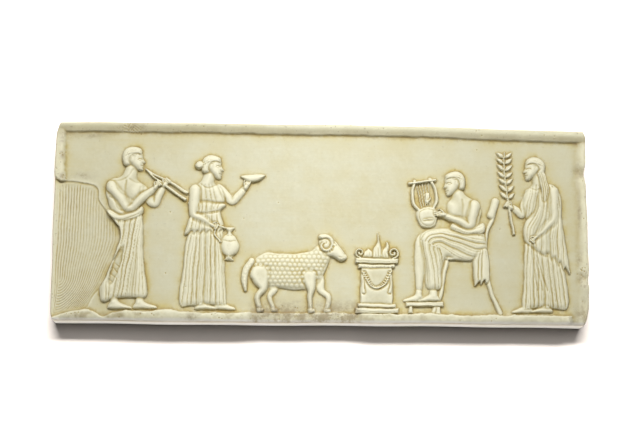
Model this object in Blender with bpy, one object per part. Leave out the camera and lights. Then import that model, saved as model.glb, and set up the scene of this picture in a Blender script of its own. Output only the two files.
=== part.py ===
"""A wall plaque: a cast slab with a low relief frieze, worn borders and a combed repair patch.

The plaque stands upright: length along X, height along Z, the carved front towards -Y.
Its flat back lies in the plane y = 0, with the origin at the middle of the back.
"""
import bmesh
import bpy
import numpy as np

MM = 0.001

# Driving sizes of the slab, in metres.
LENGTH = 250 * MM
HEIGHT = 92 * MM
SLAB = 12.4 * MM            # back to field
CARVING = 2.6 * MM          # field to the highest carving
DRAFT = 0.6 * MM            # how far the back stands out past the front on each side
ARRIS = 0.9 * MM            # rounding of the front's edges
GRID = 0.5 * MM             # spacing of the points that are carved
FACES = 9200                # triangles kept on the front

# Borders, ledge and groove.
TOP_BORDER = 4.8 * MM
TOP_RISE = 2.3 * MM
TOP_BOW = 1.2 * MM          # how far the top edge rises to its middle
TOP_WIDENING = 1.3 * MM     # how much wider the top border is at its right end
SIDE_BORDER = 4.8 * MM
LEFT_RISE = 1.7 * MM
RIGHT_BORDER = 4.0 * MM
RIGHT_RISE = 1.3 * MM
GROOVE = 0.45 * MM
LEDGE = 4.4 * MM
LEDGE_RISE = 2.3 * MM
RIM_RISE = 1.3 * MM
RIGHT_GAP = 8.0 * MM        # from the ledge's end to the right edge

# The repair patch in the lower left corner, over the ledge.
PATCH_HEIGHT = 60.0 * MM
PATCH_WIDTH = 31 * MM
PATCH_DROP = 0.45 * MM      # below the field
PATCH_SEAM = 0.3 * MM

# The ledge's broken stretch and its dip beside the patch, from the left edge.
BREAK_START = 89 * MM
BREAK_END = 144 * MM
BREAK_RISE = 0.9 * MM
DIP_PLACE = 24.5 * MM
DIP_DEPTH = 2.2 * MM
DIP_WIDTH = 3.5 * MM

# Worn corners: how far the side edge moves in, and over what height.
TOP_LEFT_WEAR = (2.0 * MM, 7 * MM)
TOP_RIGHT_WEAR = (1.6 * MM, 4 * MM)
LOW_LEFT_WEAR = (1.6 * MM, 4 * MM)
LOW_RIGHT_WEAR = (2.4 * MM, 11 * MM)

# Chips out of the right edge: height as a share, depth and half width.
EDGE_CHIPS = ((0.78, 0.9 * MM, 4.5 * MM), (0.23, 0.5 * MM, 3.0 * MM))

# Gouges in the right border: in from the edge, height as a share, depth and radius.
GOUGES = ((2.0 * MM, 0.785, 1.3 * MM, 3.0 * MM), (2.2 * MM, 0.235, 0.9 * MM, 2.4 * MM))

# The lost foot of the right border: height, width and depth.
LOST_HEIGHT = 17.5 * MM
LOST_WIDTH = 4.5 * MM
LOST_DEPTH = 0.8 * MM

# Scratched place on the top border, from the left edge.
SCRATCH_PLACE = 35 * MM
SCRATCH_WIDTH = 5 * MM
SCRATCH_DEPTH = 0.45 * MM

# Where each figure stands, as a share of the length.
STATIONS = {"piper": 0.134, "cup_bearer": 0.283, "ram": 0.436, "altar": 0.600,
            "lyre_player": 0.764, "branch_bearer": 0.910}

UPPER_ARM, FOREARM, WRIST = 3.6, 2.8, 1.7
HEAD = 14.4

STONE_COLOUR = (0.72, 0.66, 0.50, 1.0)
STONE_ROUGHNESS = 0.72


def curve(points, closed=False, steps=6):
    """A smooth line through points of any number of values."""
    p = np.asarray(points, float)
    if closed:
        before, start, after, last = np.roll(p, 1, 0), p, np.roll(p, -1, 0), np.roll(p, -2, 0)
    else:
        q = np.vstack([2 * p[0] - p[1], p, 2 * p[-1] - p[-2]])
        before, start, after, last = q[:-3], q[1:-2], q[2:-1], q[3:]
    t = np.linspace(0, 1, steps, endpoint=False)[:, None, None]
    run = 0.5 * (2 * start + (after - before) * t + (2 * before - 5 * start + 4 * after - last) * t ** 2
                 + (3 * start - before - 3 * after + last) * t ** 3)
    run = run.transpose(1, 0, 2).reshape(-1, p.shape[1])
    return run if closed else np.vstack([run, p[-1]])


def nearest(x, y, ax, ay, bx, by):
    """Distance to a straight run, and the share of the run where it is nearest."""
    dx, dy = bx - ax, by - ay
    t = np.clip(((x - ax) * dx + (y - ay) * dy) / (dx * dx + dy * dy + 1e-12), 0, 1)
    return np.hypot(x - ax - t * dx, y - ay - t * dy), t


def from_line(x, y, line):
    best = np.full(x.shape, np.inf)
    for a, b in zip(line[:-1], line[1:]):
        best = np.minimum(best, nearest(x, y, *a[:2], *b[:2])[0])
    return best


def from_limb(x, y, spine):
    """Signed distance to a tapered limb, negative inside. Rows of the spine are x, y, radius."""
    best = np.full(x.shape, np.inf)
    for a, b in zip(spine[:-1], spine[1:]):
        d, t = nearest(x, y, *a[:2], *b[:2])
        best = np.minimum(best, d - a[2] - t * (b[2] - a[2]))
    return best


def from_outline(x, y, outline):
    """Signed distance to a closed outline, negative inside."""
    best = np.full(x.shape, np.inf)
    inside = np.zeros(x.shape, bool)
    for (ax, ay), (bx, by) in zip(outline, np.roll(outline, -1, 0)):
        best = np.minimum(best, nearest(x, y, ax, ay, bx, by)[0])
        if ay != by:
            inside ^= ((ay > y) != (by > y)) & (x < (bx - ax) * (y - ay) / (by - ay) + ax)
    return np.where(inside, -best, best)


def blend_least(a, b, k):
    h = np.clip(0.5 + 0.5 * (b - a) / k, 0, 1)
    return b + (a - b) * h - k * h * (1 - h)


def quarter_round(t):
    return np.sqrt(1 - (1 - np.clip(t, 0, 1)) ** 2)


def ramp(value, start, end):
    t = np.clip((value - start) / (end - start), 0, 1)
    return t * t * (3 - 2 * t)


def bell(value, middle, width):
    return np.exp(-((value - middle) / width) ** 2)


class Panel:
    """Points on the field, in hundredths of its height, and the carving's height there."""

    def __init__(self, x, y):
        self.x, self.y = x, y
        self.z = np.zeros(x.size)

    def near(self, lines, reach):
        low = np.min([line[:, :2].min(0) for line in lines], axis=0) - reach
        high = np.max([line[:, :2].max(0) for line in lines], axis=0) + reach
        across = (self.x > low[0]) & (self.x < high[0])
        return np.flatnonzero(across & (self.y > low[1]) & (self.y < high[1]))


class Carver:
    """Carves in a figure's own units: x forwards from where it stands, y up from its feet."""

    def __init__(self, panel, x, y, size=1.0, faces=1, turn=0.0):
        self.panel, self.x, self.y = panel, x, y
        self.size, self.faces, self.turn = size, faces, turn

    def put(self, points):
        p = np.array(points, float)
        c, s = np.cos(np.radians(self.turn)), np.sin(np.radians(self.turn))
        along, up = p[:, 0] * c - p[:, 1] * s, p[:, 0] * s + p[:, 1] * c
        p[:, 0], p[:, 1] = self.x + self.faces * self.size * along, self.y + self.size * up
        p[:, 2:] *= self.size
        return p

    def at(self, x, y, size=1.0, turn=0.0):
        ((x, y),) = self.put([(x, y)])
        return Carver(self.panel, x, y, self.size * size, self.faces, self.turn + turn)

    def limb(self, *points):
        return curve(self.put(points))

    def outline(self, *points):
        return curve(self.put(points), closed=True)

    def block(self, left, low, right, high):
        return self.put([(left, low), (right, low), (right, high), (left, high)])

    def form(self, *shapes, top, edge, soft=1.5, trench=0.12):
        """Raises a rounded form of joined shapes to its top, with a trench cut round it."""
        at = self.panel.near(shapes, 8)
        x, y = self.panel.x[at], self.panel.y[at]
        d = None
        for line in shapes:
            one = from_limb(x, y, line) if line.shape[1] == 3 else from_outline(x, y, line)
            d = one if d is None else blend_least(d, one, soft)
        z = self.panel.z[at] - trench * bell(d, -0.15, 0.8)
        body = top * quarter_round(-d / (edge * self.size))
        self.panel.z[at] = np.where(d < 0, np.maximum(z, body), z)
        return at, d

    def swell(self, *points, amount):
        spine = self.limb(*points)
        at = self.panel.near([spine], spine[:, 2].max())
        d = from_limb(self.panel.x[at], self.panel.y[at], spine)
        self.panel.z[at] += amount * ramp(-d, 0, 0.9 * spine[:, 2].max())

    def cut(self, *points, depth, width=0.7):
        line = curve(self.put(points))
        at = self.panel.near([line], 3 * width)
        self.panel.z[at] -= depth * bell(from_line(self.panel.x[at], self.panel.y[at], line), 0, width)

    def pleats(self, cloth, first, last, count, depth, lean=0.0):
        """Folds on a form, between two guide lines."""
        at, d = cloth
        first, last = curve(self.put(first)), curve(self.put(last))
        x, y = self.panel.x[at], self.panel.y[at]
        keep = (from_outline(x, y, np.vstack([first, last[::-1]])) < 0) & (d < 0)
        at, d, x, y = at[keep], d[keep], x[keep], y[keep]
        a, b = from_line(x, y, first), from_line(x, y, last)
        t = count * a / (a + b + 1e-9)
        t = t + 0.16 * np.sin(2.4 * t)
        fold = np.sin(np.pi * (t - np.floor(t)) ** (2.0 ** lean)) ** 0.5 - 1
        self.panel.z[at] += depth * fold * np.clip(-d / 1.5, 0, 1)


def head(c, hair="cap"):
    """A head in profile. Its unit is its own height, with the origin at the ear's front."""
    face = c.outline((0.05, 0.44), (0.24, 0.40), (0.35, 0.26), (0.375, 0.12), (0.38, 0.04), (0.435, -0.06),
                     (0.462, -0.135), (0.40, -0.168), (0.398, -0.20), (0.416, -0.232), (0.388, -0.262),
                     (0.402, -0.298), (0.372, -0.345), (0.382, -0.40), (0.33, -0.47), (0.20, -0.46),
                     (0.04, -0.36), (-0.10, -0.24), (-0.30, -0.10), (-0.32, 0.24))
    c.form(face, top=0.98, edge=0.26, trench=0.1)
    cap = c.outline((0.345, 0.22), (0.32, 0.38), (0.15, 0.49), (-0.10, 0.50), (-0.32, 0.40), (-0.44, 0.18),
                    (-0.43, -0.06), (-0.35, -0.24), (-0.20, -0.28), (-0.10, -0.20), (-0.10, -0.04),
                    (0.0, 0.10), (0.16, 0.16), (0.28, 0.17))
    c.form(cap, top=1.12, edge=0.16, trench=0.05)
    if hair == "bun":
        c.form(c.limb((-0.46, 0.10, 0.17), (-0.50, 0.06, 0.16)), top=1.10, edge=0.12, trench=0.08)
    if hair == "long":
        c.form(c.limb((-0.24, -0.16, 0.15), (-0.32, -0.50, 0.17), (-0.38, -0.85, 0.15), (-0.36, -1.25, 0.07)),
               top=1.10, edge=0.08, trench=0.08)


def hand(c, top):
    """A closed hand, from the wrist along x."""
    c.form(c.limb((-0.6, 0, 1.55), (1.6, 0.1, 1.95), (3.0, -0.2, 1.6)), top=top, edge=1.8, trench=0.08)


def open_hand(c, top):
    palm = c.limb((-0.6, 0, 1.5), (2.0, 0.1, 1.8), (5.2, 0, 1.2))
    c.form(palm, c.limb((0.8, 1.2, 0.7), (3.0, 2.5, 0.5)), top=top, edge=1.6, trench=0.08)


def foot(c, top):
    """A bare foot in profile: ankle over the origin, toes along x, sole at y = 0."""
    sole = c.outline((-3.4, 0.2), (-3.9, 1.7), (-2.4, 4.2), (-1.9, 7.5), (1.6, 7.6), (2.6, 4.6), (5.6, 2.9),
                     (8.6, 1.9), (9.6, 0.9), (8.8, 0.1), (3.0, 0.0))
    c.form(sole, top=top, edge=2.0)


def arm(c, shoulder, elbow, wrist, top, stout=1.0):
    """An arm through three places, with a textbook taper."""
    (sx, sy), (ex, ey), (wx, wy) = shoulder, elbow, wrist
    c.form(c.limb((sx, sy, UPPER_ARM * stout), (0.5 * (sx + ex), 0.5 * (sy + ey), 0.98 * UPPER_ARM * stout),
                  (ex, ey, FOREARM * stout), (0.6 * ex + 0.4 * wx, 0.6 * ey + 0.4 * wy, FOREARM * stout),
                  (wx, wy, WRIST * stout)), top=top, edge=3.2 * stout)


def stepped_hem(start, end, steps, rise):
    """Points of a hem that falls in steps from start to end."""
    start, end = np.array(start, float), np.array(end, float)
    for k in range(steps):
        yield tuple(start + (end - start) * k / steps)
        yield tuple(start + (end - start) * (k + 0.72) / steps + (0, rise))
    yield tuple(end)


def piper(c):
    """A youth with the double pipes, a mantle round the hips."""
    arm(c, (7, 69.5), (15.5, 60.5), (21.5, 72.0), top=0.62, stout=0.86)
    foot(c.at(9, 1), top=0.7)
    foot(c.at(-5, 1), top=0.8)
    neck = c.limb((2.6, 80, 3.6), (0.2, 72, 4.4))
    torso = c.outline((-3.5, 75.0), (-10.5, 73.0), (-12.0, 68), (-10.5, 61), (-8.2, 53), (-9.5, 44), (6, 44),
                      (6.6, 53), (8.2, 59), (9.4, 66), (8.8, 71.8), (3.4, 74.6))
    c.form(torso, neck, top=0.86, edge=5.5, soft=3)
    c.swell((-6, 67.5, 4.2), (-3.5, 66.5, 4.2), amount=0.10)
    c.swell((3.8, 67.0, 4.0), (5.5, 66.6, 3.8), amount=0.10)
    c.cut((-9.5, 64.0), (-5.5, 62.2), (-1.0, 63.8), (4.0, 62.4), (8.0, 64.0), depth=0.10)
    c.cut((-0.4, 73.0), (-0.8, 67), (-0.6, 60), (-0.2, 55), depth=0.10)
    head(c.at(3.4, 85.4, HEAD))
    skirt = c.outline((-9.5, 55.5), (-1, 53.6), (7.6, 56.5), (9.4, 50), (10.0, 38), (11.2, 24), (12.6, 8.5),
                      (4, 7.4), (-4, 6.6), (-12.5, 5.2), (-13.6, 20), (-12.6, 34), (-10.6, 46))
    cloth = c.form(skirt, top=0.94, edge=3)
    c.pleats(cloth, [(-13, 55), (-15, 30), (-14.5, 4)], [(6.5, 55), (4.0, 38), (-1.5, 5)], 6, 0.22, lean=0.5)
    c.pleats(cloth, [(7.5, 54), (5.0, 36), (0.5, 5)], [(11.5, 50), (12, 30), (15, 6)], 3, 0.18, lean=-0.5)
    roll = c.outline((-10.4, 56.8), (-3.0, 54.4), (4.0, 56.0), (8.8, 59.0), (9.8, 55.4), (6.0, 51.6),
                     (-2.0, 49.6), (-10.2, 51.6))
    cloth = c.form(roll, top=1.02, edge=2)
    c.pleats(cloth, [(-11, 58), (-2, 55.5), (9.4, 60.5)], [(-11, 51), (-2, 48.8), (10.4, 54)], 3, 0.16)
    for drop in (0.0, 3.4):
        c.form(c.limb((10.4, 79.6, 0.6), (22 - 0.35 * drop, 73.6 - 0.7 * drop, 0.8),
                      (34 - 0.35 * drop, 67.0 - 1.2 * drop, 1.05)), top=0.80, edge=0.7)
    hand(c.at(21.2, 71.2, 0.95, 62), top=0.86)
    arm(c, (-8.2, 69.5), (1.6, 57.6), (16.4, 69.6), top=1.12)
    hand(c.at(16.2, 69.4, 0.95, 55), top=1.12)


def cup_bearer(c):
    """A woman in a belted dress, with a shallow bowl and a jug."""
    arm(c, (6, 69.5), (14.6, 62.4), (22.2, 71.4), top=0.60, stout=0.8)
    foot(c.at(8, 1, 0.95), top=0.7)
    foot(c.at(-2, 1, 0.95), top=0.75)
    neck = c.limb((1.4, 77, 3.1), (-0.6, 71, 3.8))
    bust = c.outline((-3.0, 72.8), (-8.4, 71.0), (-10.0, 66), (-9.0, 60), (-8.0, 52), (7.0, 52), (7.4, 57),
                     (10.2, 63), (9.4, 67.5), (6.6, 71.0), (2.4, 72.6))
    dress = c.form(bust, neck, top=0.84, edge=4.5, soft=2.5)
    skirt = c.outline((-8.4, 54), (-10.6, 44), (-12.4, 28), (-14.2, 5.0), (-8, 3.2), (0, 4.0), (8, 3.4),
                      (12.0, 4.8), (10.6, 22), (10.0, 38), (7.6, 54))
    cloth = c.form(skirt, top=0.86, edge=3.4)
    c.pleats(cloth, [(-9.4, 54), (-13.4, 28), (-16, 3)], [(8.6, 54), (12.0, 28), (13.6, 3)], 8, 0.24,
             lean=0.6)
    over = c.outline((-9.6, 62), (-8.4, 56), (-10.8, 50), (-12.2, 43.6),
                     *stepped_hem((-10.6, 43.2), (9.6, 44.2), 6, 1.6), (9.6, 50), (7.8, 56), (9.8, 61))
    cloth = c.form(over, top=0.98, edge=2.4, trench=0.2)
    c.pleats(cloth, [(-9.6, 63), (-9.6, 55), (-13.4, 42)], [(10.4, 62), (8.6, 55), (11.8, 42)], 6, 0.18,
             lean=0.4)
    c.swell((-9.0, 56.2, 1.2), (-1, 55.0, 1.2), (8.6, 56.6, 1.2), amount=-0.16)
    c.pleats(dress, [(-9, 72), (-10.5, 62), (-8.8, 56)], [(7.0, 72), (11.2, 62), (8.4, 56)], 6, 0.12)
    head(c.at(2.6, 81.6, HEAD), hair="bun")
    open_hand(c.at(21.8, 70.6, 0.9, 60), top=0.84)
    bowl = c.outline((19.2, 77.2), (32.2, 77.8), (30.8, 75.2), (27.4, 73.4), (24.0, 73.2), (20.8, 74.6))
    c.form(bowl, top=0.92, edge=1.6)
    jug = c.outline((10.4, 47.6), (12.0, 44.4), (9.2, 41.6), (7.4, 37.4), (8.4, 33.0), (10.8, 30.4),
                    (10.2, 28.8), (15.6, 28.8), (15.0, 30.4), (17.6, 33.0), (18.4, 37.4), (16.6, 41.6),
                    (14.0, 44.4), (15.8, 47.4))
    c.form(jug, top=1.04, edge=4.2)
    c.form(c.limb((10.4, 47.0, 0.7), (6.4, 48.0, 0.7), (4.6, 43.4, 0.7), (7.8, 39.2, 0.7)), top=1.0,
           edge=0.62)
    arm(c, (-6.6, 68.6), (-7.0, 54.6), (3.2, 48.6), top=1.12, stout=0.95)
    hand(c.at(3.0, 48.8, 0.95, -18), top=1.14)


def ram(c):
    """A ram that walks towards the altar."""
    for hip, knee, hock, hoof in (((16.5, 20, 3.6), (18.5, 12.5, 2.0), (22.5, 8.5, 1.6), (21.5, 2.0, 1.3)),
                                  ((-11.5, 20, 4.2), (-8.0, 13.5, 2.3), (-10.2, 8.5, 1.5), (-7.8, 2.0, 1.3))):
        c.form(c.limb(hip, knee, hock, hoof), c.block(hoof[0] - 1.4, 0.1, hoof[0] + 2.4, 2.2), top=0.55,
               edge=2)
    body = c.outline((-20.5, 28), (-22.4, 23), (-20.5, 17.5), (-14, 14.8), (-4, 13.2), (6, 12.8), (14, 14.4),
                     (19.0, 20), (22.4, 27), (23.6, 33), (21.4, 38.0), (16.8, 38.2), (12.6, 35.0), (4, 33.2),
                     (-6, 33.6), (-14, 33.6))
    c.form(body, top=1.0, edge=7)
    for hip, knee, hock, hoof in (((11.5, 20, 4.6), (12.8, 12.8, 2.4), (12.0, 8.0, 1.6), (12.6, 2.0, 1.4)),
                                  ((-15.8, 21, 6.0), (-14.0, 13.8, 2.7), (-17.2, 8.6, 1.6),
                                   (-15.8, 2.0, 1.4))):
        c.form(c.limb(hip, knee, hock, hoof), c.block(hoof[0] - 1.4, 0.1, hoof[0] + 2.4, 2.4), top=1.08,
               edge=3)
    c.form(c.limb((-20.6, 28.5, 2.2), (-23.6, 24.0, 2.0), (-24.4, 17.5, 1.7), (-23.6, 12.5, 0.9)), top=0.9,
           edge=2)
    face = c.outline((17.6, 42.6), (22.0, 44.0), (26.4, 40.4), (31.6, 34.4), (33.2, 31.4), (31.6, 29.2),
                     (28.4, 29.0), (25.0, 31.2), (20.6, 32.6), (17.2, 36.6))
    c.form(face, top=1.12, edge=3.4)
    turn = np.linspace(0.35 * np.pi, 2.4 * np.pi, 20)
    reach = np.linspace(5.2, 1.6, 20)
    horn = np.column_stack([20.6 - 0.9 * reach * np.cos(turn), 38.2 + reach * np.sin(turn),
                            np.linspace(1.75, 0.8, 20)])
    c.form(c.put(horn), top=1.26, edge=1.6, trench=0.14)


def altar(c):
    """A small altar with a moulded foot and top, scrolls, a garland and flames."""
    courses = ((-9.0, 5, 27, 0.72), (-12.2, 0, 3.2, 0.95), (-10.8, 3.2, 5.6, 0.84), (-10.6, 25.4, 28.0, 0.84),
               (-12.2, 28.0, 31.2, 0.98))
    for left, low, high, top in courses:
        c.form(c.block(left, low, -left, high), top=top, edge=0.9)
    turn = np.linspace(0, 2.2 * np.pi, 20)
    reach = np.linspace(2.9, 1.0, 20)
    for side in (-1, 1):
        scroll = np.column_stack([side * (9.4 + reach * np.sin(turn)), 34.1 - reach * np.cos(turn),
                                  np.full(20, 0.7)])
        c.form(c.put(scroll), top=0.95, edge=0.6, trench=0.06)
        c.form(c.limb((side * 7.4, 23.0, 0.9), (side * 7.9, 18.0, 0.7), (side * 7.3, 12.0, 1.0)), top=0.88,
               edge=0.7)
    c.form(c.limb((-7.4, 22.6, 0.9), (-4.2, 16.4, 1.2), (0, 14.2, 1.3), (4.2, 16.4, 1.2), (7.4, 22.6, 0.9)),
           top=0.95, edge=0.9)
    for x, lean, tall in ((-4.6, -1.4, 8.5), (4.4, 1.6, 9.5), (0.2, 0.6, 14.5)):
        flame = c.outline((x - 2.6, 31.4), (x - 2.2, 31.4 + 0.35 * tall),
                          (x + 0.2 * lean, 31.4 + 0.62 * tall), (x + lean, 31.4 + tall),
                          (x + lean + 1.2, 31.4 + 0.66 * tall), (x + 2.5, 31.4 + 0.34 * tall),
                          (x + 2.4, 31.4))
        c.form(flame, top=0.80, edge=1.8)


def chair(c):
    """A chair with curved legs and a tall back, and a footstool."""
    c.form(c.limb((-10.5, 33, 1.5), (-12.6, 24, 1.35), (-15.6, 12, 1.3), (-20.4, 1.0, 1.5)), top=0.62,
           edge=1.3)
    c.form(c.limb((9.6, 33, 1.5), (11.2, 24, 1.35), (13.2, 12, 1.3), (17.2, 1.0, 1.5)), top=0.62, edge=1.3)
    c.form(c.limb((-12, 36, 1.3), (-13.2, 46, 1.2), (-17.4, 57, 1.1), (-18.6, 62, 1.1)), top=0.60, edge=1.2)
    c.form(c.limb((-15.8, 56.5, 2.4), (-18.6, 64.5, 2.4)), top=0.72, edge=1.8)
    c.form(c.block(-13, 30.6, 11.6, 34.4), top=0.74, edge=1)
    c.form(c.block(12.0, 4.0, 33.0, 6.8), top=0.80, edge=0.9)
    for x in (14.8, 30.2):
        c.form(c.put([(x - 1.6, 0), (x + 1.6, 0), (x + 0.9, 4.2), (x - 0.9, 4.2)]), top=0.70, edge=0.9)


def lyre(c):
    for side in (-1, 1):
        c.form(c.limb((side * 3.6, 3.0, 1.1), (side * 6.6, 9.0, 0.95), (side * 6.4, 15.5, 0.9),
                      (side * 4.4, 21.5, 1.0)),
               top=0.82, edge=0.9)
    c.form(c.limb((-7.4, 20.4, 0.9), (7.4, 20.4, 0.9)), top=0.90, edge=0.8)
    c.form(c.outline((-5.2, 4.6), (-6.0, 0), (-4.0, -5.0), (0, -6.6), (4.0, -5.0), (6.0, 0), (5.2, 4.6),
                     (0, 5.8)),
           top=0.92, edge=3.2)


def lyre_player(c):
    """A seated player, a mantle over the lap."""
    chair(c)
    shin = c.limb((2, 41.5, 5.6), (17, 42.5, 4.6), (23.5, 41.0, 3.9), (24.4, 30, 3.5), (25.2, 18, 2.3),
                  (25.6, 13.5, 2.0))
    c.form(shin, top=0.62, edge=3.2)
    foot(c.at(25.8, 6.8, 0.9), top=0.66)
    foot(c.at(17.6, 6.8, 0.95), top=0.86)
    neck = c.limb((3.4, 69.0, 3.4), (1.0, 63.4, 4.2))
    torso = c.outline((-2.6, 66.4), (-8.6, 64.0), (-10.6, 59), (-9.4, 51), (-10.2, 42), (-9.0, 37), (4.6, 38),
                      (5.8, 46), (8.4, 53), (9.6, 60), (8.2, 64.4), (3.2, 66.0))
    c.form(torso, neck, top=0.82, edge=5.2, soft=3)
    c.swell((-4.6, 60.0, 4.2), (-2.4, 59.0, 4.2), amount=0.10)
    c.cut((-8.6, 56.4), (-4, 54.0), (1.4, 55.6), (7.4, 54.6), depth=0.09)
    lap = c.outline((-10.4, 49.4), (-3.0, 47.6), (5.0, 48.6), (13, 48.6), (20, 48.0), (25.0, 43.6),
                    (24.4, 36), (22.6, 26), (21.4, 15.2), (16.6, 13.6), (12.4, 15.4), (12.2, 25), (9.8, 31.6),
                    (4.0, 30.4), (-4.4, 30.0), (-10.6, 30.2), (-13.2, 36), (-12.6, 43))
    cloth = c.form(lap, top=0.98, edge=4.2)
    c.pleats(cloth, [(-12.6, 47), (0, 50.5), (14, 50.5), (22.5, 48), (26.5, 42.5)],
             [(-13.5, 31), (-6, 29), (4, 32.4), (13, 38), (16.0, 38.5)], 5, 0.20, lean=0.5)
    c.pleats(cloth, [(26.5, 43), (24.5, 30), (22.6, 12.4)], [(14.0, 37), (11.4, 26), (11.6, 13.6)], 4, 0.20,
             lean=-0.5)
    roll = c.outline((-11.4, 52.2), (-4.0, 49.2), (2.0, 49.6), (6.8, 51.4), (7.6, 48.0), (2.0, 45.4),
                     (-5, 45.0), (-12.0, 46.4))
    cloth = c.form(roll, top=1.04, edge=1.8)
    c.pleats(cloth, [(-12, 53), (-3.6, 50.2), (8, 52.4)], [(-12.4, 46), (-4.6, 44.2), (8.2, 47)], 3, 0.14)
    tail = c.outline((-9.4, 37.4), (-13.4, 36.0), *stepped_hem((-14.6, 19.8), (-5.4, 17.8), 3, -2.2),
                     (-5.0, 30))
    cloth = c.form(tail, top=0.92, edge=1.8)
    c.pleats(cloth, [(-13.0, 37), (-15.6, 28), (-16.0, 16)], [(-8, 37), (-5.4, 28), (-4.0, 15)], 4, 0.18,
             lean=0.5)
    head(c.at(4.8, 74.4, HEAD, -6))
    lyre(c.at(20.6, 55.0, 1.0, -8))
    open_hand(c.at(20.6, 64.0, 0.8, 92), top=0.74)
    arm(c, (-6.4, 61.6), (-3.2, 50.4), (11.8, 56.4), top=1.14)
    open_hand(c.at(11.6, 56.4, 0.95, 8), top=1.16)


def branch_bearer(c):
    """A maiden in a long dress and mantle, with a leafy branch."""
    foot(c.at(8.4, 1, 0.95), top=0.7)
    foot(c.at(-2.2, 1, 0.95), top=0.75)
    arm(c, (6, 70), (10.2, 57.2), (18.0, 62.6), top=0.62, stout=0.8)
    neck = c.limb((1.6, 79, 3.1), (-0.4, 73, 3.8))
    gown = c.outline((-3.0, 74.6), (-8.8, 73.0), (-11.4, 66), (-10.4, 56), (-11.6, 44), (-13.4, 26),
                     (-15.2, 5.0), (-8, 3.2), (0, 4.0), (7, 3.4), (11.2, 4.8), (9.8, 24), (9.4, 40),
                     (8.0, 53), (9.8, 62), (9.4, 68.6), (6.4, 72.8), (2.4, 74.4))
    dress = c.form(gown, neck, top=0.86, edge=4, soft=2.5)
    c.pleats(dress, [(-10.4, 40), (-14.4, 20), (-17, 3)], [(9.6, 40), (11.4, 20), (12.6, 3)], 8, 0.22,
             lean=0.6)
    c.pleats(dress, [(0.6, 75), (1.6, 66), (4.4, 58)], [(8.2, 74), (11.2, 64), (9.6, 55)], 4, 0.12)
    mantle = c.outline((-2.0, 74.8), (-9.2, 74.0), (-12.6, 66), (-12.4, 54), (-14.4, 40), (-16.6, 26),
                       *stepped_hem((-16.2, 23.0), (-2.6, 33.4), 4, 2.0), (5.0, 37.5), (9.8, 43), (9.2, 52),
                       (3.6, 60), (1.4, 68))
    cloth = c.form(mantle, top=1.0, edge=3, trench=0.2)
    c.pleats(cloth, [(2.6, 76), (3.6, 62), (10.8, 50), (11.8, 40)],
             [(-9.6, 78), (-14.6, 62), (-17.5, 40), (-18.5, 20)], 7, 0.20, lean=-0.5)
    head(c.at(2.8, 83.4, HEAD), hair="long")
    stem = [(15.2, 46, 0.7), (17.6, 58, 0.7), (19.2, 70, 0.6), (20.2, 82, 0.5), (20.2, 93, 0.4)]
    c.form(c.limb(*stem), top=0.72, edge=0.6)
    for x, y, _ in curve(stem, steps=3)[5:-1]:
        for side in (-1, 1):
            leaf = c.at(x, y, 1.0, 90 - side * 48)
            c.form(leaf.outline((0.4, 0), (2.6, 1.3), (5.8, 0.1), (2.8, -1.1)), top=0.70, edge=0.9,
                   trench=0.05)
    hand(c.at(17.2, 61.2, 0.92, 40), top=0.86)
    arm(c, (-7.8, 70.4), (-7.2, 54.4), (3.6, 43.6), top=1.12, stout=0.95)
    hand(c.at(3.2, 43.8, 0.92, -40), top=1.14)


def figures(x, y, length):
    """The frieze's height as a share of the carving's depth. All arguments are in field units."""
    sway = 0.3 * np.sin(0.50 * x + 0.21 * y + 1.3) + 0.22 * np.sin(0.83 * y - 0.31 * x)
    lift = 0.3 * np.sin(0.47 * y - 0.17 * x + 0.6) + 0.2 * np.sin(0.71 * x + 0.4)
    panel = Panel(x + sway, y + lift)
    for carve, faces in ((piper, 1), (cup_bearer, 1), (ram, 1), (altar, 1), (lyre_player, -1),
                         (branch_bearer, -1)):
        carve(Carver(panel, STATIONS[carve.__name__] * length, 0, faces=faces))
    return panel.z


def worn_corner(distance, depth, reach):
    """How far a worn corner moves a side edge in, at a distance along it."""
    return depth * np.clip(1 - distance / reach, 0, 1) ** 2


def wander(share, amount, first, second):
    """The slow unevenness of a hand-finished edge, along a share of its length."""
    return amount * (0.6 * np.sin(first * share) + 0.4 * np.sin(second * share + 1.1))


def left_edge(z):
    worn = worn_corner(HEIGHT - z, *TOP_LEFT_WEAR) + worn_corner(z, *LOW_LEFT_WEAR)
    return worn - LENGTH / 2 + wander(z / HEIGHT, 0.25 * MM, 9, 21)


def right_edge(z):
    worn = worn_corner(HEIGHT - z, *TOP_RIGHT_WEAR) + worn_corner(z, *LOW_RIGHT_WEAR)
    chips = sum(depth * bell(z, share * HEIGHT, width) for share, depth, width in EDGE_CHIPS)
    return LENGTH / 2 - worn - chips + wander(z / HEIGHT, 0.25 * MM, 7, 25)


def top_edge(x):
    return HEIGHT + TOP_BOW * (1 - (2 * x / LENGTH) ** 2) + wander(x / LENGTH, 0.2 * MM, 11, 29)


def bottom_edge(x):
    return wander(x / LENGTH, 0.25 * MM, 8, 31)


def patch_outline():
    """The repair patch, from the left edge round to the ledge."""
    share = [(-0.2, 0.985), (0.10, 1.0), (0.32, 1.0), (0.52, 0.985), (0.64, 0.95), (0.67, 0.86), (0.80, 0.76),
             (0.92, 0.68), (0.99, 0.63), (1.0, 0.55), (0.93, 0.44), (0.86, 0.33), (0.76, 0.21), (0.62, 0.11),
             (0.52, 0.02), (0.30, 0.0), (-0.3, 0.0)]
    return curve(np.array(share) * (PATCH_WIDTH, PATCH_HEIGHT) + (0, LEDGE), closed=True, steps=4)


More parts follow.
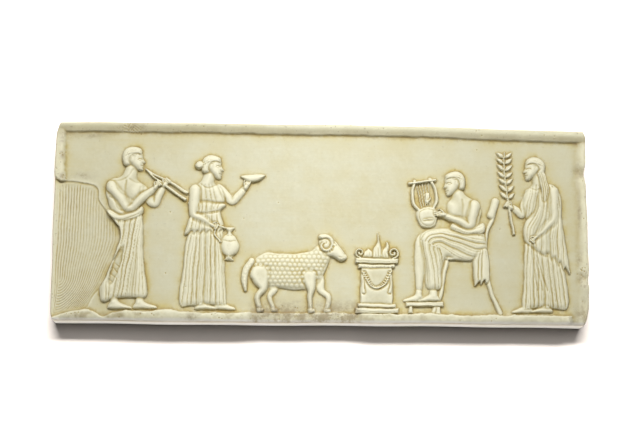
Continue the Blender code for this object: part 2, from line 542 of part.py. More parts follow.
def with_borders(height, x, z):
    """Adds the side and top borders, with a groove under the top one."""
    into_left = SIDE_BORDER - x + wander(z / HEIGHT, 0.4 * MM, 12, 26)
    height = np.maximum(height, LEFT_RISE * ramp(into_left, -0.6 * MM, 0.9 * MM))
    into_right = x - LENGTH + RIGHT_BORDER + wander(z / HEIGHT, 0.5 * MM, 10, 31)
    height = np.maximum(height, RIGHT_RISE * ramp(into_right, -1.6 * MM, 2.4 * MM))
    widening = TOP_WIDENING * (x / LENGTH - 0.4)
    into_top = z - top_edge(x - LENGTH / 2) + TOP_BORDER + widening + wander(x / LENGTH, 0.15 * MM, 17, 41)
    between = (x > SIDE_BORDER) & (x < LENGTH - RIGHT_BORDER)
    height = height - GROOVE * bell(into_top, -0.5 * MM, 0.7 * MM) * between
    bevel = 0.5 + 0.5 * ramp(into_top, 0, 0.75 * TOP_BORDER)
    scratch = SCRATCH_DEPTH * bell(x, SCRATCH_PLACE, SCRATCH_WIDTH) * ramp(into_top, 0, 1 * MM)
    return np.maximum(height, TOP_RISE * bevel * ramp(into_top, -0.15 * MM, 0.45 * MM) - scratch)


def with_ledge(height, x, z):
    """Adds the ground ledge: low below the patch, broken in the middle, ended before the right edge."""
    into = LEDGE + wander(x / LENGTH, 0.35 * MM, 13, 37) - DIP_DEPTH * bell(x, DIP_PLACE, DIP_WIDTH) - z
    whole = 1 - ramp(x, BREAK_START, BREAK_START + 6 * MM) * (1 - ramp(x, BREAK_END - 3 * MM, BREAK_END))
    rise = RIM_RISE + (LEDGE_RISE - RIM_RISE) * ramp(x, PATCH_WIDTH - 10 * MM, PATCH_WIDTH + 8 * MM)
    rise = rise * (1 - 0.12 * ramp(into, 0.3 * LEDGE, LEDGE))
    rough = 0.3 * MM * np.sin(x / (1.9 * MM)) * np.sin(z / (1.3 * MM) + x / (3.1 * MM))
    step = ramp(into, -0.15 * MM, 0.5 * MM) * (x < LENGTH - RIGHT_GAP)
    return np.maximum(height, step * (whole * rise + (1 - whole) * (BREAK_RISE + rough)))


def with_patch(height, x, z):
    """Sets the repair patch into the carving, with a seam round it."""
    inside = -from_outline(x, z, patch_outline())
    return np.where(inside > 0, -PATCH_DROP - PATCH_SEAM * bell(inside, 0.2 * MM, 0.7 * MM), height)


def with_losses(height, x, z):
    """Takes out the gouges and the lost foot of the right border."""
    for inward, share, depth, radius in GOUGES:
        height = height - depth * bell(np.hypot(x - LENGTH + inward, z - share * HEIGHT), 0, radius)
    lost = ramp(LOST_HEIGHT - z, 0, 5 * MM) * ramp(x, LENGTH - LOST_WIDTH, LENGTH - LOST_WIDTH + 2.5 * MM)
    return np.maximum(height - LOST_DEPTH * lost, -0.8 * MM)


def carved_height(x, z):
    """Height over the field at points of the front. x runs from the left edge and z from the bottom."""
    unit = (HEIGHT - TOP_BORDER - LEDGE) / 100
    height = CARVING * figures(x / unit, (z - LEDGE) / unit, LENGTH / unit)
    for finish in (with_borders, with_ledge, with_patch, with_losses):
        height = finish(height, x, z)
    return height


def rounded_arris(inside):
    """How far the front drops at a distance inside its outline."""
    return ARRIS * (1 - quarter_round(inside / ARRIS))


def front_sheet():
    """The carved front as an open sheet, at a height over the field."""
    columns, rows = round(LENGTH / GRID), round(HEIGHT / GRID)
    sheet = bmesh.new()
    bmesh.ops.create_grid(sheet, x_segments=columns, y_segments=rows, size=0.5)
    mesh = bpy.data.meshes.new("front")
    sheet.to_mesh(mesh)
    sheet.free()

    place = np.empty(3 * len(mesh.vertices), np.float32)
    mesh.vertices.foreach_get("co", place)
    share = place.reshape(-1, 3)[:, :2].astype(float) + 0.5
    x = (share[:, 0] - 0.5) * LENGTH
    z = bottom_edge(x) + share[:, 1] * (top_edge(x) - bottom_edge(x))
    x = left_edge(z) + share[:, 0] * (right_edge(z) - left_edge(z))
    sides = (x - left_edge(z), right_edge(z) - x, z - bottom_edge(x), top_edge(x) - z)
    height = carved_height(x + LENGTH / 2, z) - rounded_arris(np.clip(np.min(sides, axis=0), 0, ARRIS))
    place = np.column_stack([x, -SLAB - height, z - HEIGHT / 2])
    mesh.vertices.foreach_set("co", place.astype(np.float32).ravel())
    mesh.update()
    return mesh


def thinned(mesh, faces):
    """The sheet with fewer triangles, kept where the carving needs them."""
    sheet = bpy.data.objects.new("front", mesh)
    bpy.context.scene.collection.objects.link(sheet)
    fewer = sheet.modifiers.new("fewer faces", "DECIMATE")
    fewer.ratio = faces / (2 * len(mesh.polygons))
    ready = sheet.evaluated_get(bpy.context.evaluated_depsgraph_get())
    result = bpy.data.meshes.new_from_object(ready)
    bpy.data.objects.remove(sheet)
    return result


def closed_slab(sheet):
    """Sides drawn back from the sheet's edge with a little draft, and a flat back."""
    solid = bmesh.new()
    solid.from_mesh(sheet)
    border = [edge for edge in solid.edges if edge.is_boundary]
    drawn = bmesh.ops.extrude_edge_only(solid, edges=border)["geom"]
    for vertex in (part for part in drawn if isinstance(part, bmesh.types.BMVert)):
        vertex.co.x *= 1 + 2 * DRAFT / LENGTH
        vertex.co.z *= 1 + 2 * DRAFT / HEIGHT
        vertex.co.y = 0
    back = [part for part in drawn if isinstance(part, bmesh.types.BMEdge)]
    bmesh.ops.edgeloop_fill(solid, edges=back)
    bmesh.ops.triangulate(solid, faces=solid.faces[:])
    bmesh.ops.recalc_face_normals(solid, faces=solid.faces[:])
    mesh = bpy.data.meshes.new("plaque")
    solid.to_mesh(mesh)
    solid.free()
    return mesh


def cast_stone():
    material = bpy.data.materials.new("cast stone")
    material.use_nodes = True
    shader = material.node_tree.nodes["Principled BSDF"]
    shader.inputs["Base Color"].default_value = STONE_COLOUR
    shader.inputs["Roughness"].default_value = STONE_ROUGHNESS
    shader.inputs["Metallic"].default_value = 0.0
    return material


def main():
    for item in list(bpy.data.objects):
        bpy.data.objects.remove(item)
    group = bpy.data.collections.new("relief plaque")
    bpy.context.scene.collection.children.link(group)
    mesh = closed_slab(thinned(front_sheet(), FACES))
    mesh.shade_smooth()
    mesh.set_sharp_from_angle(angle=np.radians(35))
    mesh.materials.append(cast_stone())
    group.objects.link(bpy.data.objects.new("plaque", mesh))


main()
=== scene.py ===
"""The looks of a cast-stone relief plaque: its fine carving, its toned finish, and the stage."""

import bmesh
import bpy
import numpy as np
from bpy.props import FloatProperty, FloatVectorProperty, IntProperty, PointerProperty
from mathutils import Matrix, Vector


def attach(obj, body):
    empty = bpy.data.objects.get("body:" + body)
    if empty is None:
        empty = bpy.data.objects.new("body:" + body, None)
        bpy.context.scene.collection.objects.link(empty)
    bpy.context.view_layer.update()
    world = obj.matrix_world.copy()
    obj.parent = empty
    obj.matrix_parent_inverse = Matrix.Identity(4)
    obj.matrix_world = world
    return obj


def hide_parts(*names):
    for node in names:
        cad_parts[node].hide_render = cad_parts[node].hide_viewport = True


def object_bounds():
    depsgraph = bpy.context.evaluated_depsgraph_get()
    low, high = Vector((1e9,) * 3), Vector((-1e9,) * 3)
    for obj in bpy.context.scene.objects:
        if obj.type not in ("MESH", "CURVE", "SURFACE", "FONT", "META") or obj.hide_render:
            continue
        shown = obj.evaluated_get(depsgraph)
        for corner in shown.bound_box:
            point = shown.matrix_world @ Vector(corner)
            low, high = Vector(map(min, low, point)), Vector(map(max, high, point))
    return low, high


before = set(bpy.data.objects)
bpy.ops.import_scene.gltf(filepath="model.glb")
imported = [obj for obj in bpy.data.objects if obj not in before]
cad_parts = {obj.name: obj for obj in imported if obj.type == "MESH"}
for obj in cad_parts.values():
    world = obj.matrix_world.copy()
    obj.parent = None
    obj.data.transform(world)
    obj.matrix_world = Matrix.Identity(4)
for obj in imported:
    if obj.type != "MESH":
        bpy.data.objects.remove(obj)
CAD_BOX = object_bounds()

bl_info = {
    "name": "Relief plaque",
    "version": (1, 0, 0),
    "blender": (4, 5, 0),
    "location": "View3D > Sidebar > Plaque",
    "description": "Makes a cast-stone relief plaque and its stage",
    "category": "Add Mesh",
}

MM = 0.001

# The slab, in metres, from the left end and the bottom of its front.
LENGTH = 250 * MM
HEIGHT = 92 * MM
SLAB = 12.4 * MM
DRAFT = 0.6 * MM
ARRIS = 0.9 * MM

# The borders: widths and rises, the bow and widening of the top one, and the groove under it.
TOP_BORDER = 4.8 * MM
TOP_RISE = 2.3 * MM
TOP_BOW = 1.2 * MM
TOP_WIDENING = 1.3 * MM
SIDE_BORDER = 4.8 * MM
LEFT_RISE = 1.7 * MM
RIGHT_BORDER = 4.0 * MM
RIGHT_RISE = 1.3 * MM
GROOVE = 0.45 * MM

# The ground ledge: its width, its rise, its rise under the patch, and where it ends at the right.
LEDGE = 4.4 * MM
LEDGE_RISE = 2.3 * MM
RIM_RISE = 1.3 * MM
RIGHT_GAP = 8.0 * MM

# The repair patch: its size, how far it lies under the field, and the depth of its seam.
PATCH_HEIGHT = 60.0 * MM
PATCH_WIDTH = 31 * MM
PATCH_DROP = 0.45 * MM
PATCH_SEAM = 0.3 * MM

# The ledge's broken stretch and its dip.
BREAK_START = 89 * MM
BREAK_END = 144 * MM
BREAK_RISE = 0.9 * MM
DIP_PLACE = 24.5 * MM
DIP_DEPTH = 2.2 * MM
DIP_WIDTH = 3.5 * MM

# Worn corners: how far the side edge is worn in, and how far along it the wear reaches.
TOP_LEFT_WEAR = (2.0 * MM, 7 * MM)
TOP_RIGHT_WEAR = (1.6 * MM, 4 * MM)
LOW_LEFT_WEAR = (1.6 * MM, 4 * MM)
LOW_RIGHT_WEAR = (2.4 * MM, 11 * MM)

# Chips of the right edge: share of the height, depth and half width.
EDGE_CHIPS = ((0.78, 0.9 * MM, 4.5 * MM), (0.23, 0.5 * MM, 3.0 * MM))

# Gouges near the right edge: place in from it, share of the height, depth and radius.
GOUGES = ((2.0 * MM, 0.785, 1.3 * MM, 3.0 * MM), (2.2 * MM, 0.235, 0.9 * MM, 2.4 * MM))

# The lost foot of the right border.
LOST_HEIGHT = 17.5 * MM
LOST_WIDTH = 4.5 * MM
LOST_DEPTH = 0.8 * MM

# The scratched stretch of the top border.
SCRATCH_PLACE = 35 * MM
SCRATCH_WIDTH = 5 * MM
SCRATCH_DEPTH = 0.45 * MM

# Where each figure stands, as a share of the length.
STATIONS = {"piper": 0.134, "cup_bearer": 0.283, "ram": 0.436, "altar": 0.600,
            "lyre_player": 0.764, "branch_bearer": 0.910}

# Half widths of an arm and the height of a head, in hundredths of the field's height.
UPPER_ARM, FOREARM, WRIST = 3.6, 2.8, 1.7
HEAD = 14.4

# The slow wander of each line finished by hand: how far it goes and its two rates along the line.
LEFT_EDGE_WANDER = (0.25 * MM, 9, 21)
RIGHT_EDGE_WANDER = (0.25 * MM, 7, 25)
TOP_EDGE_WANDER = (0.2 * MM, 11, 29)
BOTTOM_EDGE_WANDER = (0.25 * MM, 8, 31)
LEFT_BORDER_WANDER = (0.4 * MM, 12, 26)
RIGHT_BORDER_WANDER = (0.5 * MM, 10, 31)
TOP_BORDER_WANDER = (0.15 * MM, 17, 41)
LEDGE_WANDER = (0.35 * MM, 13, 37)

# Unevenness left by hand, each part as its height, the size of its lumps and its seed.
LEFT_EDGE_LUMPS = ((0.5 * MM, 5 * MM, 37),)
LEFT_FACE_LUMPS = ((0.22 * MM, 6 * MM, 38),)
RIGHT_EDGE_LUMPS = ((1.1 * MM, 7 * MM, 39),)
RIGHT_FACE_LUMPS = ((0.35 * MM, 5 * MM, 40),)
TOP_STEP_LUMPS = ((0.25 * MM, 4 * MM, 35),)
LEDGE_EDGE_LUMPS = ((0.55 * MM, 5 * MM, 31), (0.3 * MM, 1.8 * MM, 33))
LEDGE_FACE_LUMPS = ((0.32 * MM, 4 * MM, 41), (0.16 * MM, 1.6 * MM, 43))
LEDGE_END_LUMPS = ((0.9 * MM, 3 * MM, 45),)
BROKEN_LUMPS = ((0.45 * MM, 3 * MM, 51),)
SEAM_LUMPS = ((0.35 * MM, 4 * MM, 71),)
LOST_EDGE_LUMPS = ((2 * MM, 3 * MM, 97),)
LOST_FACE_LUMPS = ((0.25 * MM, 2.5 * MM, 95),)
FLAKE_FACE_LUMPS = ((0.15 * MM, 2 * MM, 65),)
FLAKE_SCORE_LUMPS = ((1.2 * MM, 3 * MM, 63),)

# The cast's own gentle lumps, as shares of its unevenness.
CAST_LUMPS = ((1.0, 15 * MM, 7), (0.6, 4 * MM, 11), (0.6, 1.6 * MM, 13))

# Where each slope starts and ends, measured into its part.
LEFT_SLOPE = (-0.8 * MM, 1.5 * MM)
RIGHT_SLOPE = (-1.6 * MM, 2.6 * MM)
TOP_SLOPE = (-0.4 * MM, 0.8 * MM)
LEDGE_SLOPE = (-0.15 * MM, 0.45 * MM)
LEDGE_END_SLOPE = (-0.6 * MM, 2.4 * MM)
SEAM_SLOPE = (-0.5 * MM, 0.35 * MM)

# The smear that laps over the patch's seam: middle, half sizes, lean, level, tilt and scratches.
FLAKE_PLACE = (29.7 * MM, 24.9 * MM)
FLAKE_REACH = (2.4 * MM, 10.2 * MM)
FLAKE_LEAN = 0.28
FLAKE_LEVEL = 1.2 * MM
FLAKE_TILT = 0.6 * MM
FLAKE_SCORING = 3.4 * MM
FLAKE_SCORE_DEPTH = 0.3 * MM

# The two sets of scratches in the top border: lean, spacing and seed, and how deep they are.
SCRATCHES = ((0.9, 1.3 * MM, 81), (-1.6, 2.1 * MM, 82))
SCRATCH_CUT = 0.32 * MM

# How the comb's tracks close up towards the foot of the patch, and where they begin to hook to the left.
COMB_BEND = 0.55
COMB_NARROWING = 0.48
COMB_HOOK = (5 * MM, 19 * MM)

# Reach of the hollows that hold the toning wash.
FINE_REACH = 0.35 * MM
BROAD_REACH = 1.5 * MM
WIDE_REACH = 3.6 * MM

# How deep a place lies before the wash fills it or glows round it, and how high before it is wiped bare and
# given a painted highlight.
WASH_DEPTHS = (0.13 * MM, 3.0 * MM)
HALO_DEPTHS = (0.07 * MM, 0.8 * MM, 1.8 * MM)
WIPED_AND_HIGHLIT_HEIGHTS = (0.10 * MM, 1.0 * MM, 1.6 * MM)

# The slope along the foot of the front, its depth, and how far up the pale strip shows there: untoned stone,
# also a painted highlight along the lower edge.
FOOT_SLOPE = 2.2 * MM
FOOT_SLOPE_DEPTH = 0.35 * MM
FOOT_BARE_AND_HIGHLIT = 1.2 * MM

# Rows of faces on each side, and how deep its slight dents are.
SIDE_ROWS = 4
SIDE_DENT = 0.25 * MM

# Half the length of the middle that is left bright, and where the painted shade that darkens the ends is
# full.
END_SHADE_START = 5 * MM
END_SHADE_END = 108 * MM

# Brown stains, two painted shadows and pale rubbed places: place from the left and the bottom, and half
# sizes. The two at 5 and 13 mm from the left, 86 mm up, are painted shadow under the top border; the one at
# 245.4 mm, 86.6 mm up is a dark spot in the inner corner of the top and right borders.
STAINS_AND_SHADOWS = ((65 * MM, 2 * MM, 4 * MM, 1.6 * MM), (247 * MM, 5 * MM, 4 * MM, 7 * MM),
          (247 * MM, 73 * MM, 2.5 * MM, 4 * MM), (246.2 * MM, 54 * MM, 0.8 * MM, 9 * MM),
          (36 * MM, 90.6 * MM, 6 * MM, 1.6 * MM), (3 * MM, 84 * MM, 1.2 * MM, 1.5 * MM),
          (12 * MM, 2 * MM, 5 * MM, 1.2 * MM), (247 * MM, 21 * MM, 2.5 * MM, 5 * MM),
          (13 * MM, 67.2 * MM, 4 * MM, 1.2 * MM), (245.4 * MM, 86.6 * MM, 1.6 * MM, 1.2 * MM),
          (5 * MM, 86.8 * MM, 1.4 * MM, 1.0 * MM), (13 * MM, 86.4 * MM, 9 * MM, 1.3 * MM),
          (3.4 * MM, 77 * MM, 1.2 * MM, 2.2 * MM), (3.4 * MM, 66.5 * MM, 1.2 * MM, 1.6 * MM),
          (245.6 * MM, 31 * MM, 1.4 * MM, 4 * MM))
RUBBED = ((247.2 * MM, 66.5 * MM, 2.0 * MM, 2.4 * MM), (248.2 * MM, 20.5 * MM, 1.4 * MM, 3.0 * MM),
          (248.0 * MM, 9.0 * MM, 1.6 * MM, 2.0 * MM), (54 * MM, 4.2 * MM, 8 * MM, 1.2 * MM),
          (15 * MM, 4.6 * MM, 5 * MM, 1.0 * MM), (212 * MM, 3.2 * MM, 24 * MM, 1.6 * MM))

# Clusters of small pits: place from the left and the bottom, half sizes, and how much denser the pits are.
PITTED = ((3.4 * MM, 77 * MM, 1.4 * MM, 2.2 * MM), (3.6 * MM, 66.5 * MM, 1.6 * MM, 1.6 * MM),
          (8.6 * MM, 61.5 * MM, 2.2 * MM, 1.0 * MM), (246.5 * MM, 24 * MM, 1.6 * MM, 3.2 * MM),
          (245 * MM, 33 * MM, 1.4 * MM, 1.6 * MM), (247 * MM, 69.5 * MM, 1.2 * MM, 1.6 * MM),
          (47 * MM, 3.4 * MM, 4 * MM, 1.2 * MM), (10 * MM, 3 * MM, 5 * MM, 1.0 * MM),
          (77 * MM, 2.5 * MM, 5 * MM, 1.0 * MM), (118 * MM, 6 * MM, 6 * MM, 1.2 * MM),
          (206 * MM, 3 * MM, 6 * MM, 1.0 * MM))
PITTING = 10

# Lumps on the ledge: place along it, half width and height.
LEDGE_LUMPS = ((15 * MM, 5 * MM, 0.5 * MM), (54 * MM, 7 * MM, 0.6 * MM), (176 * MM, 9 * MM, 0.3 * MM))

# The stage: both colours, the wall's gap behind the plaque, the floor's level, and half their width.
WALL_COLOUR = (0.22, 0.201, 0.184)
WALL_GAP = 0.2 * MM
FLOOR_COLOUR = (0.85, 0.84, 0.82)
FLOOR_LEVEL = -350 * MM
STAGE_HALF = 3.0

# Each lamp's distance from the plaque and its width and height, in metres.
KEY_LAMP = (0.7, (0.55, 0.10))
FILL_LAMP = (1.2, (0.6, 0.6))
LOW_LAMP = (0.3, (0.3, 0.1))
BACK_LAMP = (1.6, (1.4, 1.4))
FLOOR_LAMP = (2.5, (6.0, 6.0))


def curve(points, closed=False, steps=6):
    """A smooth line through points of any number of values."""
    p = np.asarray(points, float)
    if closed:
        before, start, after, last = np.roll(p, 1, 0), p, np.roll(p, -1, 0), np.roll(p, -2, 0)
    else:
        q = np.vstack([2 * p[0] - p[1], p, 2 * p[-1] - p[-2]])
        before, start, after, last = q[:-3], q[1:-2], q[2:-1], q[3:]
    t = np.linspace(0, 1, steps, endpoint=False)[:, None, None]
    run = 0.5 * (2 * start + (after - before) * t + (2 * before - 5 * start + 4 * after - last) * t ** 2
                 + (3 * start - before - 3 * after + last) * t ** 3)
    run = run.transpose(1, 0, 2).reshape(-1, p.shape[1])
    return run if closed else np.vstack([run, p[-1]])


def nearest(x, y, ax, ay, bx, by):
    """Distance to a straight run, and the share of the run where it is nearest."""
    dx, dy = bx - ax, by - ay
    t = np.clip(((x - ax) * dx + (y - ay) * dy) / (dx * dx + dy * dy + 1e-12), 0, 1)
    return np.hypot(x - ax - t * dx, y - ay - t * dy), t


def from_line(x, y, line):
    """Distance to a line through points."""
    best = np.full(x.shape, np.inf)
    for a, b in zip(line[:-1], line[1:]):
        best = np.minimum(best, nearest(x, y, *a[:2], *b[:2])[0])
    return best


def from_limb(x, y, spine):
    """Signed distance to a tapered limb, negative inside. Rows of the spine are x, y, radius."""
    best = np.full(x.shape, np.inf)
    for a, b in zip(spine[:-1], spine[1:]):
        d, t = nearest(x, y, *a[:2], *b[:2])
        best = np.minimum(best, d - a[2] - t * (b[2] - a[2]))
    return best


def from_outline(x, y, outline):
    """Signed distance to a closed outline, negative inside."""
    best = np.full(x.shape, np.inf)
    inside = np.zeros(x.shape, bool)
    for (ax, ay), (bx, by) in zip(outline, np.roll(outline, -1, 0)):
        best = np.minimum(best, nearest(x, y, ax, ay, bx, by)[0])
        if ay != by:
            inside ^= ((ay > y) != (by > y)) & (x < (bx - ax) * (y - ay) / (by - ay) + ax)
    return np.where(inside, -best, best)


def blend_least(a, b, k):
    """The lesser of two values, with the change between them rounded off."""
    h = np.clip(0.5 + 0.5 * (b - a) / k, 0, 1)
    return b + (a - b) * h - k * h * (1 - h)


def quarter_round(t):
    """The height of a quarter circle, from 0 to 1."""
    return np.sqrt(1 - (1 - np.clip(t, 0, 1)) ** 2)


def ramp(value, start, end):
    """A smooth rise from 0 at the start to 1 at the end."""
    t = np.clip((value - start) / (end - start), 0, 1)
    return t * t * (3 - 2 * t)


def bell(value, middle, width):
    """1 at the middle, falling off smoothly over the width."""
    return np.exp(-((value - middle) / width) ** 2)


def mottle(x, y, size, seed):
    """Smooth unevenness from -1 to 1, with lumps of a size."""
    u, v = (x - x.min()) / size, (y - y.min()) / size
    i, j = np.floor(u).astype(int), np.floor(v).astype(int)
    lattice = np.random.default_rng(seed).uniform(-1, 1, (i.max() + 2, j.max() + 2))
    f, g = ramp(u - i, 0, 1), ramp(v - j, 0, 1)
    low = lattice[i, j] * (1 - f) + lattice[i + 1, j] * f
    high = lattice[i, j + 1] * (1 - f) + lattice[i + 1, j + 1] * f
    return low * (1 - g) + high * g


def rough(x, y, size, seed):
    """Unevenness with finer lumps on the coarse ones."""
    return sum(mottle(x, y, size / 2 ** k, seed + k) / 2 ** k for k in range(3)) / 1.75


def lumpy(x, y, lumps):
    """The sum of several roughnesses, each given by its height, the size of its lumps and its seed."""
    return sum(height * rough(x, y, size, seed) for height, size, seed in lumps)


class Panel:
    """Points on the field, in hundredths of its height, and the carving's height there."""

    def __init__(self, x, y):
        self.x, self.y = x, y
        self.z = np.zeros(x.size)

    def near(self, lines, reach):
        """Which points may lie within a reach of the lines."""
        low = np.min([line[:, :2].min(0) for line in lines], axis=0) - reach
        high = np.max([line[:, :2].max(0) for line in lines], axis=0) + reach
        across = (self.x > low[0]) & (self.x < high[0])
        return np.flatnonzero(across & (self.y > low[1]) & (self.y < high[1]))


class Carver:
    """Carves in a figure's own units: x forwards from where it stands, y up from its feet."""

    def __init__(self, panel, x, y, size=1.0, faces=1, turn=0.0):
        self.panel, self.x, self.y = panel, x, y
        self.size, self.faces, self.turn = size, faces, turn

    def put(self, points):
        """Points of the figure, as places on the field."""
        p = np.array(points, float)
        c, s = np.cos(np.radians(self.turn)), np.sin(np.radians(self.turn))
        along, up = p[:, 0] * c - p[:, 1] * s, p[:, 0] * s + p[:, 1] * c
        p[:, 0], p[:, 1] = self.x + self.faces * self.size * along, self.y + self.size * up
        p[:, 2:] *= self.size
        return p

    def at(self, x, y, size=1.0, turn=0.0):
        """A carver for a part, with its own place, size and turn."""
        ((x, y),) = self.put([(x, y)])
        return Carver(self.panel, x, y, self.size * size, self.faces, self.turn + turn)

    def limb(self, *points):
        """A run through points of x, y and half width."""
        return curve(self.put(points))

    def outline(self, *points):
        """A closed outline through points."""
        return curve(self.put(points), closed=True)

    def block(self, left, low, right, high):
        """An upright rectangle's outline."""
        return self.put([(left, low), (right, low), (right, high), (left, high)])

    def form(self, *shapes, top, edge, soft=1.5, trench=0.12):
        """Raises a rounded form of joined shapes to its top, with a trench cut round it."""
        at = self.panel.near(shapes, 8)
        x, y = self.panel.x[at], self.panel.y[at]
        d = None
        for line in shapes:
            one = from_limb(x, y, line) if line.shape[1] == 3 else from_outline(x, y, line)
            d = one if d is None else blend_least(d, one, soft)
        z = self.panel.z[at] - trench * bell(d, -0.15, 0.8)
        body = top * quarter_round(-d / (edge * self.size))
        self.panel.z[at] = np.where(d < 0, np.maximum(z, body), z)
        return at, d

    def swell(self, *points, amount):
        """Raises a soft lump, or sinks one where the amount is negative."""
        spine = self.limb(*points)
        at = self.panel.near([spine], spine[:, 2].max())
        d = from_limb(self.panel.x[at], self.panel.y[at], spine)
        self.panel.z[at] += amount * ramp(-d, 0, 0.9 * spine[:, 2].max())

    def cut(self, *points, depth, width=0.7):
        """A tooled line. Its width is in the figure's units."""
        line, width = curve(self.put(points)), max(width * self.size, 0.26)
        at = self.panel.near([line], 3 * width)
        self.panel.z[at] -= depth * bell(from_line(self.panel.x[at], self.panel.y[at], line), 0, width)

    def pleats(self, cloth, first, last, count, depth, lean=0.0, fade=1.5, fine=0.0):
        """Folds on a form, between two guide lines, with finer creases along them."""
        at, d = cloth
        first, last = curve(self.put(first)), curve(self.put(last))
        x, y = self.panel.x[at], self.panel.y[at]
        keep = (from_outline(x, y, np.vstack([first, last[::-1]])) < 0) & (d < 0)
        at, d, x, y = at[keep], d[keep], x[keep], y[keep]
        a, b = from_line(x, y, first), from_line(x, y, last)
        t = count * a / (a + b + 1e-9)
        t = t + 0.16 * np.sin(2.4 * t)
        share = (t - np.floor(t)) ** (2.0 ** lean)
        fold = np.sin(np.pi * share) ** 0.5 - 1
        crease = bell(share, 0.36 + 0.05 * np.sin(0.11 * y + 2 * np.floor(t)), 0.055)
        crease = crease + 0.7 * bell(share, 0.68 + 0.05 * np.sin(0.13 * y + 3 * np.floor(t)), 0.05)
        self.panel.z[at] += (depth * fold - fine * crease) * np.clip(-d / fade, 0, 1)


def face_marks(c):
    """Eye, brow, nostril and mouth of a head in profile, in the head's unit."""
    c.swell((0.20, 0.035, 0.05), (0.33, 0.035, 0.05), amount=-0.10)
    c.swell((0.19, 0.0, 0.03), (0.25, 0.0, 0.045), (0.31, 0.0, 0.03), amount=0.12)
    c.cut((0.165, -0.002), (0.25, 0.045), (0.335, 0.002), depth=0.08, width=0.017)
    c.cut((0.175, -0.006), (0.25, -0.04), (0.325, -0.004), depth=0.07, width=0.016)
    c.cut((0.16, 0.085), (0.26, 0.115), (0.36, 0.085), depth=0.08, width=0.02)
    c.cut((0.375, -0.165), (0.34, -0.13), (0.355, -0.09), depth=0.07, width=0.018)
    c.cut((0.40, -0.262), (0.33, -0.258), (0.285, -0.250), depth=0.11, width=0.018)
    c.swell((0.12, -0.20, 0.12), (0.22, -0.22, 0.12), amount=0.05)


def head(c, hair="cap"):
    """A head in profile. Its unit is its own height, with the origin at the ear's front."""
    face = c.outline((0.05, 0.44), (0.24, 0.40), (0.35, 0.26), (0.375, 0.12), (0.38, 0.04), (0.435, -0.06),
                     (0.462, -0.135), (0.40, -0.168), (0.398, -0.20), (0.416, -0.232), (0.388, -0.262),
                     (0.402, -0.298), (0.372, -0.345), (0.382, -0.40), (0.33, -0.47), (0.20, -0.46),
                     (0.04, -0.36), (-0.10, -0.24), (-0.30, -0.10), (-0.32, 0.24))
    c.form(face, top=0.98, edge=0.26, trench=0.1)
    face_marks(c)
    cap = c.outline((0.345, 0.22), (0.32, 0.38), (0.15, 0.49), (-0.10, 0.50), (-0.32, 0.40), (-0.44, 0.18),
                    (-0.43, -0.06), (-0.35, -0.24), (-0.20, -0.28), (-0.10, -0.20), (-0.10, -0.04),
                    (0.0, 0.10), (0.16, 0.16), (0.28, 0.17))
    locks = c.form(cap, top=1.12, edge=0.16, trench=0.05)
    c.pleats(locks, [(0.40, 0.20), (0.36, 0.42), (0.10, 0.54), (-0.14, 0.54), (-0.38, 0.42), (-0.49, 0.14),
                     (-0.46, -0.14), (-0.34, -0.32)],
             [(0.26, 0.14), (0.10, 0.14), (0.0, 0.12), (-0.06, 0.05), (-0.09, -0.02), (-0.10, -0.08),
              (-0.11, -0.16), (-0.14, -0.24)], 6, 0.10, fade=0.5)
    c.swell((-0.03, 0.06, 0.06), (-0.045, -0.05, 0.06), amount=0.14)
    c.cut((-0.01, 0.05), (-0.05, 0.0), (-0.03, -0.06), depth=0.10, width=0.018)
    c.swell((0.33, 0.21, 0.036), (0.10, 0.27, 0.038), (-0.16, 0.22, 0.038), (-0.42, 0.08, 0.036), amount=0.10)
    for rise in (0.035, -0.035):
        c.cut((0.335, 0.21 + rise), (0.10, 0.27 + rise), (-0.16, 0.22 + rise), (-0.425, 0.08 + rise),
              depth=0.06, width=0.016)
    if hair == "bun":
        bun = c.form(c.limb((-0.46, 0.10, 0.17), (-0.50, 0.06, 0.16)), top=1.10, edge=0.12, trench=0.08)
        c.pleats(bun, [(-0.28, 0.28), (-0.50, 0.32), (-0.70, 0.16)],
                 [(-0.30, -0.10), (-0.48, -0.18), (-0.70, -0.08)], 4, 0.09, fade=0.5)
    if hair == "long":
        c.form(c.limb((-0.24, -0.16, 0.15), (-0.32, -0.50, 0.17), (-0.38, -0.85, 0.15), (-0.36, -1.25, 0.07)),
               top=1.06, edge=0.08, trench=0.08)
        for k in range(4):
            lean = 0.078 * k - 0.117
            c.form(c.limb((-0.24 + lean, -0.20, 0.045), (-0.32 + lean, -0.50, 0.048),
                          (-0.38 + lean, -0.85, 0.045), (-0.37 + 0.6 * lean, -1.22 - 0.04 * (k % 2), 0.025)),
                   top=1.14, edge=0.05, trench=0.05)


def hand(c, top):
    """A closed hand, from the wrist along x."""
    c.form(c.limb((-0.6, 0, 1.55), (1.6, 0.1, 1.95), (2.6, 0, 1.7)), top=top, edge=1.8, trench=0.08)
    for k in range(4):
        y = 1.3 - 0.95 * k
        c.form(c.limb((2.0, y, 0.6), (3.8 - 0.18 * k, y - 0.1, 0.6), (3.5 - 0.2 * k, y - 0.8, 0.5)),
               top=top + 0.03, edge=0.6, trench=0.07)
    c.form(c.limb((0.6, 1.3, 0.62), (2.0, 2.3, 0.6), (3.2, 2.2, 0.45)), top=top + 0.05, edge=0.6, trench=0.06)


def open_hand(c, top):
    """An open hand, from the wrist along x."""
    c.form(c.limb((-0.6, 0, 1.5), (1.2, 0.1, 1.8), (2.4, 0, 1.6)), top=top, edge=1.6, trench=0.08)
    for k in range(4):
        y = 1.2 - 0.78 * k
        c.form(c.limb((2.0, y, 0.54), (4.4, y + 0.05, 0.48), (5.9 - 0.35 * abs(k - 1), y - 0.1, 0.38)),
               top=top, edge=0.5, trench=0.06)
    c.form(c.limb((0.6, 1.2, 0.7), (2.0, 2.3, 0.6), (3.3, 2.5, 0.45)), top=top + 0.02, edge=0.6, trench=0.06)


